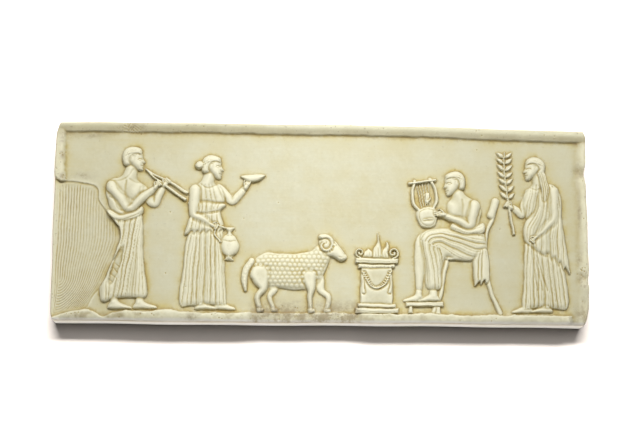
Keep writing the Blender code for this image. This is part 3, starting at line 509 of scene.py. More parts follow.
def foot(c, top):
    """A bare foot in profile: ankle over the origin, toes along x, sole at y = 0."""
    sole = c.outline((-3.4, 0.2), (-3.9, 1.7), (-2.4, 4.2), (-1.9, 7.5), (1.6, 7.6), (2.6, 4.6), (5.6, 2.9),
                     (8.6, 1.9), (9.6, 0.9), (8.8, 0.1), (3.0, 0.0))
    c.form(sole, top=top, edge=2.0)
    c.swell((-0.9, 3.6, 1.1), (-0.5, 3.7, 1.1), amount=0.09)
    for k in range(3):
        x = 9.0 - 1.15 * k
        c.cut((x - 0.2, 0.15), (x - 0.7, 1.2), (x - 1.6, 1.9), depth=0.10, width=0.26)


def arm(c, shoulder, elbow, wrist, top, stout=1.0):
    """An arm through three places, with a textbook taper."""
    (sx, sy), (ex, ey), (wx, wy) = shoulder, elbow, wrist
    c.form(c.limb((sx, sy, UPPER_ARM * stout), (0.5 * (sx + ex), 0.5 * (sy + ey), 0.98 * UPPER_ARM * stout),
                  (ex, ey, FOREARM * stout), (0.6 * ex + 0.4 * wx, 0.6 * ey + 0.4 * wy, FOREARM * stout),
                  (wx, wy, WRIST * stout)), top=top, edge=3.2 * stout)
    c.swell((0.8 * sx + 0.2 * ex, 0.8 * sy + 0.2 * ey, 2.6), (0.4 * sx + 0.6 * ex, 0.4 * sy + 0.6 * ey, 2.2),
            amount=0.07)
    c.swell((0.8 * ex + 0.2 * wx, 0.8 * ey + 0.2 * wy, 2.2), (0.5 * ex + 0.5 * wx, 0.5 * ey + 0.5 * wy, 1.8),
            amount=0.05)


def stepped_hem(start, end, steps, rise):
    """Points of a hem that falls in steps from start to end."""
    start, end = np.array(start, float), np.array(end, float)
    for k in range(steps):
        yield tuple(start + (end - start) * k / steps)
        yield tuple(start + (end - start) * (k + 0.72) / steps + (0, rise))
    yield tuple(end)


def piper(c):
    """A youth with the double pipes, a mantle round the hips."""
    arm(c, (7, 69.5), (15.5, 60.5), (21.5, 72.0), top=0.62, stout=0.86)
    foot(c.at(9, 1), top=0.7)
    foot(c.at(-5, 1), top=0.8)
    neck = c.limb((2.6, 80, 3.6), (0.2, 72, 4.4))
    torso = c.outline((-3.5, 75.0), (-10.5, 73.0), (-12.0, 68), (-10.5, 61), (-8.2, 53), (-9.5, 44), (6, 44),
                      (6.6, 53), (8.2, 59), (9.4, 66), (8.8, 71.8), (3.4, 74.6))
    c.form(torso, neck, top=0.86, edge=5.5, soft=3)
    c.swell((-6, 67.5, 4.2), (-3.5, 66.5, 4.2), amount=0.10)
    c.swell((3.8, 67.0, 4.0), (5.5, 66.6, 3.8), amount=0.10)
    c.cut((-9.5, 64.0), (-5.5, 62.2), (-1.0, 63.8), (4.0, 62.4), (8.0, 64.0), depth=0.10)
    c.cut((-0.4, 73.0), (-0.8, 67), (-0.6, 60), (-0.2, 55), depth=0.10)
    c.cut((-6.5, 61.6), (-4.5, 57.6), (-1.0, 56.4), (3.6, 57.6), (5.8, 60.8), depth=0.07, width=0.6)
    c.cut((-9.8, 73.6), (-5, 73.2), (-1.2, 74.4), depth=0.08, width=0.5)
    c.cut((1.4, 74.2), (5.0, 72.8), (8.8, 72.2), depth=0.08, width=0.5)
    c.cut((3.6, 79.6), (1.6, 76.4), (-0.6, 74.6), depth=0.07, width=0.5)
    head(c.at(3.4, 85.4, HEAD))
    skirt = c.outline((-9.5, 55.5), (-1, 53.6), (7.6, 56.5), (9.4, 50), (10.0, 38), (11.2, 24), (12.6, 8.5),
                      (4, 7.4), (-4, 6.6), (-12.5, 5.2), (-13.6, 20), (-12.6, 34), (-10.6, 46))
    cloth = c.form(skirt, top=0.94, edge=3)
    c.pleats(cloth, [(-13, 55), (-15, 30), (-14.5, 4)], [(6.5, 55), (4.0, 38), (-1.5, 5)], 6, 0.24, lean=0.5,
             fine=0.09)
    c.pleats(cloth, [(7.5, 54), (5.0, 36), (0.5, 5)], [(11.5, 50), (12, 30), (15, 6)], 3, 0.20, lean=-0.5,
             fine=0.09)
    roll = c.outline((-10.4, 56.8), (-3.0, 54.4), (4.0, 56.0), (8.8, 59.0), (9.8, 55.4), (6.0, 51.6),
                     (-2.0, 49.6), (-10.2, 51.6))
    cloth = c.form(roll, top=1.02, edge=2)
    c.pleats(cloth, [(-11, 58), (-2, 55.5), (9.4, 60.5)], [(-11, 51), (-2, 48.8), (10.4, 54)], 3, 0.18)
    for drop in (0.0, 3.4):
        pipe = [(10.4, 79.6, 0.6), (22 - 0.35 * drop, 73.6 - 0.7 * drop, 0.8),
                (34 - 0.35 * drop, 67.0 - 1.2 * drop, 1.05)]
        c.form(c.limb(*pipe), top=0.80, edge=0.7)
        for share in (0.55, 0.7, 0.85):
            x, y = (1 - share) * np.array(pipe[1][:2]) + share * np.array(pipe[2][:2])
            c.cut((x - 0.1, y - 0.1), (x + 0.1, y + 0.15), depth=0.2, width=0.34)
    hand(c.at(21.2, 71.2, 0.95, 62), top=0.86)
    arm(c, (-8.2, 69.5), (1.6, 57.6), (16.4, 69.6), top=1.12)
    c.cut((3.2, 60.4), (1.6, 59.2), (0.2, 56.6), depth=0.07, width=0.5)
    hand(c.at(16.2, 69.4, 0.95, 55), top=1.12)


def cup_bearer(c):
    """A woman in a belted dress, with a shallow bowl and a jug."""
    arm(c, (6, 69.5), (14.6, 62.4), (22.2, 71.4), top=0.60, stout=0.8)
    foot(c.at(8, 1, 0.95), top=0.7)
    foot(c.at(-2, 1, 0.95), top=0.75)
    neck = c.limb((1.4, 77, 3.1), (-0.6, 71, 3.8))
    bust = c.outline((-3.0, 72.8), (-8.4, 71.0), (-10.0, 66), (-9.0, 60), (-8.0, 52), (7.0, 52), (7.4, 57),
                     (10.2, 63), (9.4, 67.5), (6.6, 71.0), (2.4, 72.6))
    dress = c.form(bust, neck, top=0.84, edge=4.5, soft=2.5)
    skirt = c.outline((-8.4, 54), (-10.6, 44), (-12.4, 28), (-14.2, 5.0), (-8, 3.2), (0, 4.0), (8, 3.4),
                      (12.0, 4.8), (10.6, 22), (10.0, 38), (7.6, 54))
    cloth = c.form(skirt, top=0.86, edge=3.4)
    c.pleats(cloth, [(-9.4, 54), (-13.4, 28), (-16, 3)], [(8.6, 54), (12.0, 28), (13.6, 3)], 8, 0.26,
             lean=0.6, fine=0.09)
    over = c.outline((-9.6, 62), (-8.4, 56), (-10.8, 50), (-12.2, 43.6),
                     *stepped_hem((-10.6, 43.2), (9.6, 44.2), 6, 1.6), (9.6, 50), (7.8, 56), (9.8, 61))
    cloth = c.form(over, top=0.98, edge=2.4, trench=0.2)
    c.pleats(cloth, [(-9.6, 63), (-9.6, 55), (-13.4, 42)], [(10.4, 62), (8.6, 55), (11.8, 42)], 6, 0.19,
             lean=0.4, fine=0.07)
    c.swell((-9.0, 56.2, 1.2), (-1, 55.0, 1.2), (8.6, 56.6, 1.2), amount=-0.16)
    for rise in (0.5, -0.5):
        c.cut((-8.6, 56.2 + rise), (-1, 55.0 + rise), (8.2, 56.6 + rise), depth=0.05, width=0.28)
    c.pleats(dress, [(-9, 72), (-10.5, 62), (-8.8, 56)], [(7.0, 72), (11.2, 62), (8.4, 56)], 8, 0.10)
    c.cut((-3.4, 72.4), (0.6, 69.6), (4.8, 71.8), depth=0.12, width=0.5)
    head(c.at(2.6, 81.6, HEAD), hair="bun")
    open_hand(c.at(21.8, 70.6, 0.9, 60), top=0.84)
    bowl = c.outline((19.2, 77.2), (32.2, 77.8), (30.8, 75.2), (27.4, 73.4), (24.0, 73.2), (20.8, 74.6))
    c.form(bowl, top=0.92, edge=1.6)
    c.cut((20.2, 76.3), (31.4, 76.9), depth=0.14, width=0.32)
    jug = c.outline((10.4, 47.6), (12.0, 44.4), (9.2, 41.6), (7.4, 37.4), (8.4, 33.0), (10.8, 30.4),
                    (10.2, 28.8), (15.6, 28.8), (15.0, 30.4), (17.6, 33.0), (18.4, 37.4), (16.6, 41.6),
                    (14.0, 44.4), (15.8, 47.4))
    c.form(jug, top=1.04, edge=4.2)
    for y, half in ((43.2, 2.0), (40.2, 3.4), (31.6, 3.0)):
        c.cut((12.9 - half, y), (12.9, y - 0.5), (12.9 + half, y), depth=0.11, width=0.32)
    c.form(c.limb((10.4, 47.0, 0.7), (6.4, 48.0, 0.7), (4.6, 43.4, 0.7), (7.8, 39.2, 0.7)), top=1.0,
           edge=0.62)
    arm(c, (-6.6, 68.6), (-7.0, 54.6), (3.2, 48.6), top=1.12, stout=0.95)
    hand(c.at(3.0, 48.8, 0.95, -18), top=1.14)


def fleece(c, body, pitch):
    """Rows of small curls over a body."""
    at, d = body
    x, y = c.panel.x[at] / pitch, c.panel.y[at] / (0.86 * pitch)
    u, v = (x + 0.5 * (np.floor(y) % 2)) % 1 - 0.5, y % 1 - 0.5
    reach = np.hypot(u, v)
    curl = 0.5 + 0.5 * np.cos(np.pi * np.clip(reach / 0.56, 0, 1))
    c.panel.z[at] += (0.17 * curl - 0.09 * bell(reach, 0.06, 0.10) - 0.08) * np.clip(-d / 1.5, 0, 1)


def ram(c):
    """A ram that walks towards the altar."""
    for hip, knee, hock, hoof in (((16.5, 20, 3.6), (18.5, 12.5, 2.0), (22.5, 8.5, 1.6), (21.5, 2.0, 1.3)),
                                  ((-11.5, 20, 4.2), (-8.0, 13.5, 2.3), (-10.2, 8.5, 1.5), (-7.8, 2.0, 1.3))):
        c.form(c.limb(hip, knee, hock, hoof), c.block(hoof[0] - 1.4, 0.1, hoof[0] + 2.4, 2.2), top=0.55,
               edge=2)
        c.cut((hoof[0] - 1.6, 2.5), (hoof[0] + 1.8, 2.7), depth=0.1, width=0.3)
    body = c.outline((-20.5, 28), (-22.4, 23), (-20.5, 17.5), (-14, 14.8), (-4, 13.2), (6, 12.8), (14, 14.4),
                     (19.0, 20), (22.4, 27), (23.6, 33), (21.4, 38.0), (16.8, 38.2), (12.6, 35.0), (4, 33.2),
                     (-6, 33.6), (-14, 33.6))
    fleece(c, c.form(body, top=1.0, edge=7), 2.7)
    for hip, knee, hock, hoof in (((11.5, 20, 4.6), (12.8, 12.8, 2.4), (12.0, 8.0, 1.6), (12.6, 2.0, 1.4)),
                                  ((-15.8, 21, 6.0), (-14.0, 13.8, 2.7), (-17.2, 8.6, 1.6),
                                   (-15.8, 2.0, 1.4))):
        c.form(c.limb(hip, knee, hock, hoof), c.block(hoof[0] - 1.4, 0.1, hoof[0] + 2.4, 2.4), top=1.08,
               edge=3)
        c.cut((hoof[0] - 1.8, 2.8), (hoof[0] + 2.0, 3.0), depth=0.12, width=0.3)
        c.cut((hoof[0] + 1.0, 0.2), (hoof[0] + 0.8, 2.4), depth=0.12, width=0.28)
    tail = c.form(c.limb((-20.6, 28.5, 2.2), (-23.6, 24.0, 2.0), (-24.4, 17.5, 1.7), (-23.6, 12.5, 0.9)),
                  top=0.9, edge=2)
    fleece(c, tail, 2.2)
    face = c.outline((17.6, 42.6), (22.0, 44.0), (26.4, 40.4), (31.6, 34.4), (33.2, 31.4), (31.6, 29.2),
                     (28.4, 29.0), (25.0, 31.2), (20.6, 32.6), (17.2, 36.6))
    c.form(face, top=1.12, edge=3.4)
    c.swell((25.0, 38.4, 0.9), (26.2, 37.8, 0.9), amount=0.14)
    c.cut((23.8, 38.2), (25.2, 39.6), (27.2, 37.9), depth=0.10, width=0.3)
    c.cut((24.2, 37.8), (25.8, 37.0), (27.0, 37.6), depth=0.07, width=0.28)
    c.cut((32.0, 31.8), (29.6, 31.4), (28.2, 31.8), depth=0.12, width=0.3)
    c.cut((32.2, 33.6), (31.4, 33.2), depth=0.14, width=0.36)
    turn = np.linspace(0.35 * np.pi, 2.4 * np.pi, 20)
    reach = np.linspace(5.2, 1.6, 20)
    horn = np.column_stack([20.6 - 0.9 * reach * np.cos(turn), 38.2 + reach * np.sin(turn),
                            np.linspace(1.75, 0.8, 20)])
    c.form(c.put(horn), top=1.26, edge=1.6, trench=0.14)
    for k in range(2, 18):
        side = horn[k, 2] * np.array([np.cos(turn[k]) * -0.9, np.sin(turn[k])])
        c.cut(horn[k, :2] - side, horn[k, :2] + side, depth=0.09, width=0.28)


def altar(c):
    """A small altar with a moulded foot and top, scrolls, a garland and flames."""
    courses = ((-9.0, 5, 27, 0.72), (-12.2, 0, 3.2, 0.95), (-10.8, 3.2, 5.6, 0.84), (-10.6, 25.4, 28.0, 0.84),
               (-12.2, 28.0, 31.2, 0.98))
    for left, low, high, top in courses:
        c.form(c.block(left, low, -left, high), top=top, edge=0.9)
    c.cut((-11.6, 1.0), (11.6, 1.0), depth=0.12, width=0.3)
    c.cut((-11.6, 29.2), (11.6, 29.2), depth=0.12, width=0.3)
    for k in range(9):
        c.form(c.limb((2.2 * k - 8.8 - 0.1, 26.7, 0.72), (2.2 * k - 8.8 + 0.1, 26.7, 0.72)), top=0.95,
               edge=0.7, trench=0.04)
    turn = np.linspace(0, 2.6 * np.pi, 24)
    reach = np.linspace(2.9, 0.6, 24)
    for side in (-1, 1):
        scroll = np.column_stack([side * (9.4 + reach * np.sin(turn)), 34.1 - reach * np.cos(turn),
                                  np.full(24, 0.62)])
        c.form(c.put(scroll), top=0.95, edge=0.6, trench=0.06)
        c.form(c.limb((side * 7.4, 23.0, 0.9), (side * 7.9, 18.0, 0.7), (side * 7.3, 12.0, 1.0)), top=0.88,
               edge=0.7)
        c.cut((side * 7.4, 21.0), (side * 7.8, 17.0), (side * 7.3, 12.0), depth=0.08, width=0.28)
    garland = [(-7.4, 22.6), (-4.2, 16.4), (0, 14.2), (4.2, 16.4), (7.4, 22.6)]
    c.form(c.limb(*((x, y, 0.9) for x, y in garland)), top=0.86, edge=0.9)
    for x, y in curve(garland, steps=5):
        for side in (-1, 1):
            c.form(c.limb((x, y, 0.5), (x + 0.9 * side, y + 0.55, 0.42)), top=0.98, edge=0.5, trench=0.05)
    for x, lean, tall in ((-4.6, -1.4, 8.5), (4.4, 1.6, 9.5), (0.2, 0.6, 14.5)):
        flame = c.outline((x - 2.6, 31.4), (x - 2.2, 31.4 + 0.35 * tall),
                          (x + 0.2 * lean, 31.4 + 0.62 * tall), (x + lean, 31.4 + tall),
                          (x + lean + 1.2, 31.4 + 0.66 * tall), (x + 2.5, 31.4 + 0.34 * tall),
                          (x + 2.4, 31.4))
        c.form(flame, top=0.80, edge=1.8)
        for side in (-0.9, 0.7):
            c.cut((x + side, 32.2), (x + side - 0.3, 31.4 + 0.35 * tall), (x + 0.8 * lean, 31.4 + 0.8 * tall),
                  depth=0.10, width=0.34)


def chair(c):
    """A chair with curved legs and a tall back, and a footstool."""
    c.form(c.limb((-10.5, 33, 1.5), (-12.6, 24, 1.35), (-15.6, 12, 1.3), (-20.4, 1.0, 1.5)), top=0.62,
           edge=1.3)
    c.form(c.limb((9.6, 33, 1.5), (11.2, 24, 1.35), (13.2, 12, 1.3), (17.2, 1.0, 1.5)), top=0.62, edge=1.3)
    c.form(c.limb((-12, 36, 1.3), (-13.2, 46, 1.2), (-17.4, 57, 1.1), (-18.6, 62, 1.1)), top=0.60, edge=1.2)
    c.form(c.limb((-15.8, 56.5, 2.4), (-18.6, 64.5, 2.4)), top=0.72, edge=1.8)
    c.cut((-17.0, 55.6), (-20.2, 64.6), depth=0.09, width=0.3)
    c.form(c.block(-13, 30.6, 11.6, 34.4), top=0.74, edge=1)
    c.cut((-12.4, 32.5), (11.0, 32.5), depth=0.12, width=0.34)
    for x in (-11.2, 9.8):
        c.cut((x, 31.2), (x + 0.01, 33.8), depth=0.10, width=0.4)
    c.form(c.block(12.0, 4.0, 33.0, 6.8), top=0.80, edge=0.9)
    c.cut((12.8, 5.4), (32.2, 5.4), depth=0.10, width=0.3)
    for x in (14.8, 30.2):
        c.form(c.put([(x - 1.6, 0), (x + 1.6, 0), (x + 0.9, 4.2), (x - 0.9, 4.2)]), top=0.70, edge=0.9)


def lyre(c):
    """A lyre, from the middle of its sound box."""
    for k in range(5):
        x = 1.2 * k - 2.4
        c.form(c.limb((0.9 * x, -1.2, 0.3), (1.2 * x, 10, 0.3), (1.5 * x, 20.4, 0.3)), top=0.50, edge=0.3,
               trench=0.03)
    for side in (-1, 1):
        c.form(c.limb((side * 3.6, 3.0, 1.1), (side * 6.6, 9.0, 0.95), (side * 6.4, 15.5, 0.9),
                      (side * 4.4, 21.5, 1.0)),
               top=0.82, edge=0.9)
    c.form(c.limb((-7.4, 20.4, 0.9), (7.4, 20.4, 0.9)), top=0.90, edge=0.8)
    c.form(c.outline((-5.2, 4.6), (-6.0, 0), (-4.0, -5.0), (0, -6.6), (4.0, -5.0), (6.0, 0), (5.2, 4.6),
                     (0, 5.8)),
           top=0.92, edge=3.2)
    c.cut((-3.8, 3.4), (-4.6, 0), (-2.9, -3.8), (0, -5.0), (2.9, -3.8), (4.6, 0), (3.8, 3.4), (0, 4.4),
          (-3.8, 3.4), depth=0.12, width=0.32)
    c.form(c.limb((-2.6, -1.4, 0.5), (2.6, -1.4, 0.5)), top=1.0, edge=0.5)


def lyre_player(c):
    """A seated player, a mantle over the lap."""
    chair(c)
    shin = c.limb((2, 41.5, 5.6), (17, 42.5, 4.6), (23.5, 41.0, 3.9), (24.4, 30, 3.5), (25.2, 18, 2.3),
                  (25.6, 13.5, 2.0))
    c.form(shin, top=0.62, edge=3.2)
    foot(c.at(25.8, 6.8, 0.9), top=0.66)
    foot(c.at(17.6, 6.8, 0.95), top=0.86)
    neck = c.limb((3.4, 69.0, 3.4), (1.0, 63.4, 4.2))
    torso = c.outline((-2.6, 66.4), (-8.6, 64.0), (-10.6, 59), (-9.4, 51), (-10.2, 42), (-9.0, 37), (4.6, 38),
                      (5.8, 46), (8.4, 53), (9.6, 60), (8.2, 64.4), (3.2, 66.0))
    c.form(torso, neck, top=0.82, edge=5.2, soft=3)
    c.swell((-4.6, 60.0, 4.2), (-2.4, 59.0, 4.2), amount=0.10)
    c.swell((4.4, 59.6, 3.6), (5.6, 59.2, 3.6), amount=0.07)
    c.cut((-8.6, 56.4), (-4, 54.0), (1.4, 55.6), (7.4, 54.6), depth=0.09)
    c.cut((1.0, 65.0), (0.6, 60), (0.9, 53), depth=0.08, width=0.6)
    c.cut((-3.6, 51.4), (-0.6, 50.2), (4.2, 51.2), depth=0.07, width=0.55)
    lap = c.outline((-10.4, 49.4), (-3.0, 47.6), (5.0, 48.6), (13, 48.6), (20, 48.0), (25.0, 43.6),
                    (24.4, 36), (22.6, 26), (21.4, 15.2), (16.6, 13.6), (12.4, 15.4), (12.2, 25), (9.8, 31.6),
                    (4.0, 30.4), (-4.4, 30.0), (-10.6, 30.2), (-13.2, 36), (-12.6, 43))
    cloth = c.form(lap, top=0.98, edge=4.2)
    c.pleats(cloth, [(-12.6, 47), (0, 50.5), (14, 50.5), (22.5, 48), (26.5, 42.5)],
             [(-13.5, 31), (-6, 29), (4, 32.4), (13, 38), (16.0, 38.5)], 5, 0.22, lean=0.5, fine=0.07)
    c.pleats(cloth, [(26.5, 43), (24.5, 30), (22.6, 12.4)], [(14.0, 37), (11.4, 26), (11.6, 13.6)], 4, 0.22,
             lean=-0.5, fine=0.07)
    roll = c.outline((-11.4, 52.2), (-4.0, 49.2), (2.0, 49.6), (6.8, 51.4), (7.6, 48.0), (2.0, 45.4),
                     (-5, 45.0), (-12.0, 46.4))
    cloth = c.form(roll, top=1.04, edge=1.8)
    c.pleats(cloth, [(-12, 53), (-3.6, 50.2), (8, 52.4)], [(-12.4, 46), (-4.6, 44.2), (8.2, 47)], 3, 0.16)
    tail = c.outline((-9.4, 37.4), (-13.4, 36.0), *stepped_hem((-14.6, 19.8), (-5.4, 17.8), 3, -2.2),
                     (-5.0, 30))
    cloth = c.form(tail, top=0.92, edge=1.8)
    c.pleats(cloth, [(-13.0, 37), (-15.6, 28), (-16.0, 16)], [(-8, 37), (-5.4, 28), (-4.0, 15)], 4, 0.20,
             lean=0.5)
    head(c.at(4.8, 74.4, HEAD, -6))
    lyre(c.at(20.6, 55.0, 1.0, -8))
    open_hand(c.at(20.6, 64.0, 0.8, 92), top=0.74)
    arm(c, (-6.4, 61.6), (-3.2, 50.4), (11.8, 56.4), top=1.14)
    open_hand(c.at(11.6, 56.4, 0.95, 8), top=1.16)


def branch_bearer(c):
    """A maiden in a long dress and mantle, with a leafy branch."""
    foot(c.at(8.4, 1, 0.95), top=0.7)
    foot(c.at(-2.2, 1, 0.95), top=0.75)
    arm(c, (6, 70), (10.2, 57.2), (18.0, 62.6), top=0.62, stout=0.8)
    neck = c.limb((1.6, 79, 3.1), (-0.4, 73, 3.8))
    gown = c.outline((-3.0, 74.6), (-8.8, 73.0), (-11.4, 66), (-10.4, 56), (-11.6, 44), (-13.4, 26),
                     (-15.2, 5.0), (-8, 3.2), (0, 4.0), (7, 3.4), (11.2, 4.8), (9.8, 24), (9.4, 40),
                     (8.0, 53), (9.8, 62), (9.4, 68.6), (6.4, 72.8), (2.4, 74.4))
    dress = c.form(gown, neck, top=0.86, edge=4, soft=2.5)
    c.pleats(dress, [(-10.4, 40), (-14.4, 20), (-17, 3)], [(9.6, 40), (11.4, 20), (12.6, 3)], 8, 0.24,
             lean=0.6, fine=0.09)
    c.pleats(dress, [(0.6, 75), (1.6, 66), (4.4, 58)], [(8.2, 74), (11.2, 64), (9.6, 55)], 5, 0.12)
    c.cut((-1.6, 74.0), (2.0, 71.4), (6.0, 73.4), depth=0.10, width=0.5)
    mantle = c.outline((-2.0, 74.8), (-9.2, 74.0), (-12.6, 66), (-12.4, 54), (-14.4, 40), (-16.6, 26),
                       *stepped_hem((-16.2, 23.0), (-2.6, 33.4), 4, 2.0), (5.0, 37.5), (9.8, 43), (9.2, 52),
                       (3.6, 60), (1.4, 68))
    cloth = c.form(mantle, top=1.0, edge=3, trench=0.2)
    c.pleats(cloth, [(2.6, 76), (3.6, 62), (10.8, 50), (11.8, 40)],
             [(-9.6, 78), (-14.6, 62), (-17.5, 40), (-18.5, 20)], 7, 0.22, lean=-0.5, fine=0.07)
    head(c.at(2.8, 83.4, HEAD), hair="long")
    stem = [(15.2, 46, 0.7), (17.6, 58, 0.7), (19.2, 70, 0.6), (20.2, 82, 0.5), (20.2, 93, 0.4)]
    c.form(c.limb(*stem), top=0.72, edge=0.6)
    for x, y, _ in curve(stem, steps=3)[5:-1]:
        for side in (-1, 1):
            leaf = c.at(x, y, 1.0, 90 - side * 48)
            leaf.form(leaf.outline((0.4, 0), (2.6, 1.3), (5.8, 0.1), (2.8, -1.1)), top=0.72, edge=0.9,
                      trench=0.05)
            leaf.cut((0.6, 0), (5.0, 0.1), depth=0.12, width=0.27)
    hand(c.at(17.2, 61.2, 0.92, 40), top=0.86)
    arm(c, (-7.8, 70.4), (-7.2, 54.4), (3.6, 43.6), top=1.12, stout=0.95)
    hand(c.at(3.2, 43.8, 0.92, -40), top=1.14)
    for k in range(3):
        c.cut((5.8 - 0.5 * k, 40.0), (5.0 - 1.4 * k, 31), (2.4 - 2.6 * k, 14), depth=0.12, width=0.5)


def figures(x, y, length):
    """The frieze's height as a share of the carving's depth. All arguments are in field units."""
    sway = 0.2 * np.sin(0.50 * x + 0.21 * y + 1.3) + 0.08 * np.sin(0.83 * y - 0.31 * x)
    lift = 0.2 * np.sin(0.47 * y - 0.17 * x + 0.6) + 0.08 * np.sin(0.71 * x + 0.4)
    panel = Panel(x + sway, y + lift)
    for carve, faces in ((piper, 1), (cup_bearer, 1), (ram, 1), (altar, 1), (lyre_player, -1),
                         (branch_bearer, -1)):
        carve(Carver(panel, STATIONS[carve.__name__] * length, 0, faces=faces))
    return panel.z


def worn_corner(distance, depth, reach):
    """How far a worn corner moves a side edge in, at a distance along it."""
    return depth * np.clip(1 - distance / reach, 0, 1) ** 2


def wander(share, amount, first, second):
    """The slow unevenness of a hand-finished edge, along a share of its length."""
    return amount * (0.6 * np.sin(first * share) + 0.4 * np.sin(second * share + 1.1))


def left_edge(z):
    """Where the slab's left edge is, at a height."""
    worn = worn_corner(HEIGHT - z, *TOP_LEFT_WEAR) + worn_corner(z, *LOW_LEFT_WEAR)
    return worn - LENGTH / 2 + wander(z / HEIGHT, *LEFT_EDGE_WANDER)


def right_edge(z):
    """Where the slab's right edge is, at a height."""
    worn = worn_corner(HEIGHT - z, *TOP_RIGHT_WEAR) + worn_corner(z, *LOW_RIGHT_WEAR)
    chips = sum(depth * bell(z, share * HEIGHT, width) for share, depth, width in EDGE_CHIPS)
    return LENGTH / 2 - worn - chips + wander(z / HEIGHT, *RIGHT_EDGE_WANDER)


def top_edge(x):
    """The height of the slab's top edge, from a place counted from its middle."""
    return HEIGHT + TOP_BOW * (1 - (2 * x / LENGTH) ** 2) + wander(x / LENGTH, *TOP_EDGE_WANDER)


def bottom_edge(x):
    """The height of the slab's bottom edge."""
    return wander(x / LENGTH, *BOTTOM_EDGE_WANDER)


def patch_outline():
    """The repair patch, from the left edge round to the ledge."""
    share = [(-0.2, 0.985), (0.10, 1.0), (0.32, 1.0), (0.52, 0.985), (0.64, 0.95), (0.67, 0.86), (0.80, 0.76),
             (0.92, 0.68), (0.99, 0.63), (1.0, 0.55), (0.93, 0.44), (0.86, 0.33), (0.76, 0.21), (0.62, 0.11),
             (0.52, 0.02), (0.30, 0.0), (-0.3, 0.0)]
    return curve(np.array(share) * (PATCH_WIDTH, PATCH_HEIGHT) + (0, LEDGE), closed=True, steps=4)


def with_borders(height, x, z):
    """Adds the side and top borders, with a groove under the top one."""
    into_left = SIDE_BORDER - x + wander(z / HEIGHT, *LEFT_BORDER_WANDER)
    into_left = into_left + lumpy(x, z, LEFT_EDGE_LUMPS)
    left_rise = LEFT_RISE + lumpy(x, z, LEFT_FACE_LUMPS)
    height = np.maximum(height, left_rise * ramp(into_left, *LEFT_SLOPE))
    into_right = x - LENGTH + RIGHT_BORDER + wander(z / HEIGHT, *RIGHT_BORDER_WANDER)
    into_right = into_right + lumpy(x, z, RIGHT_EDGE_LUMPS)
    right_rise = RIGHT_RISE + lumpy(x, z, RIGHT_FACE_LUMPS)
    height = np.maximum(height, right_rise * ramp(into_right, *RIGHT_SLOPE))
    widening = TOP_WIDENING * (x / LENGTH - 0.4)
    into_top = z - top_edge(x - LENGTH / 2) + TOP_BORDER + widening + wander(x / LENGTH, *TOP_BORDER_WANDER)
    between = (x > SIDE_BORDER) & (x < LENGTH - RIGHT_BORDER)
    height = height - 0.45 * GROOVE * bell(into_top, -0.6 * MM, 0.8 * MM) * between
    bevel = 0.5 + 0.5 * ramp(into_top, 0, 0.75 * TOP_BORDER)
    scratch = SCRATCH_DEPTH * bell(x, SCRATCH_PLACE, SCRATCH_WIDTH) * ramp(into_top, 0, 1 * MM)
    step = ramp(into_top + lumpy(x, z, TOP_STEP_LUMPS), *TOP_SLOPE)
    return np.maximum(height, TOP_RISE * bevel * step - scratch)


def unbroken(x):
    """1 where the ledge is whole, 0 along its broken stretch."""
    return 1 - ramp(x, BREAK_START, BREAK_START + 6 * MM) * (1 - ramp(x, BREAK_END - 3 * MM, BREAK_END))


def with_ledge(height, x, z):
    """Adds the ground ledge: low below the patch, broken in the middle, ended before the right edge."""
    into = LEDGE + wander(x / LENGTH, *LEDGE_WANDER) - DIP_DEPTH * bell(x, DIP_PLACE, DIP_WIDTH) - z
    into = into + lumpy(x, z, LEDGE_EDGE_LUMPS)
    whole = unbroken(x)
    rise = RIM_RISE + (LEDGE_RISE - RIM_RISE) * ramp(x, PATCH_WIDTH - 10 * MM, PATCH_WIDTH + 8 * MM)
    rise = rise * (1 - 0.12 * ramp(into, 0.3 * LEDGE, LEDGE))
    rise = rise + lumpy(x, z, LEDGE_FACE_LUMPS)
    crumbled = BREAK_RISE + lumpy(x, z, BROKEN_LUMPS)
    for place, reach, lump in LEDGE_LUMPS:
        into, rise = into + lump * bell(x, place, reach), rise + 0.5 * lump * bell(x, place, reach)
    to_end = LENGTH - RIGHT_GAP - x + lumpy(x, z, LEDGE_END_LUMPS)
    step = ramp(into, *LEDGE_SLOPE) * ramp(to_end, *LEDGE_END_SLOPE)
    return np.maximum(height, step * (whole * rise + (1 - whole) * crumbled))


def with_flake(height, x, z):
    """Adds the smear of filler that laps over the patch's seam, with a few scratches in its lower part."""
    place, reach = np.array(FLAKE_PLACE), np.array(FLAKE_REACH)
    lean = FLAKE_LEAN * (z - place[1])
    across, up = (x - place[0] - lean) / reach[0], (z - place[1]) / reach[1]
    inside = 1 - np.hypot(across, up) + 0.25 * rough(x, z, 4 * MM, 61)
    slant = z + 0.9 * x + lumpy(x, z, FLAKE_SCORE_LUMPS)
    scored = bell(np.abs(slant / FLAKE_SCORING % 1 - 0.5), 0, 0.09)
    scored = scored * ramp(place[1] + 0.3 * reach[1] - z, 0, 3 * MM)
    level = FLAKE_LEVEL + FLAKE_TILT * across + lumpy(x, z, FLAKE_FACE_LUMPS) - FLAKE_SCORE_DEPTH * scored
    share = ramp(inside, 0, 0.3)
    return height * (1 - share) + level * share


def with_patch(height, x, z):
    """Sets the repair patch into the carving, with a seam round it."""
    inside = -from_outline(x, z, patch_outline()) + lumpy(x, z, SEAM_LUMPS)
    filled = ramp(inside, *SEAM_SLOPE)
    seam = 0.5 * PATCH_SEAM * bell(inside, 0.2 * MM, 0.7 * MM)
    return height * (1 - filled) - filled * (PATCH_DROP + seam)


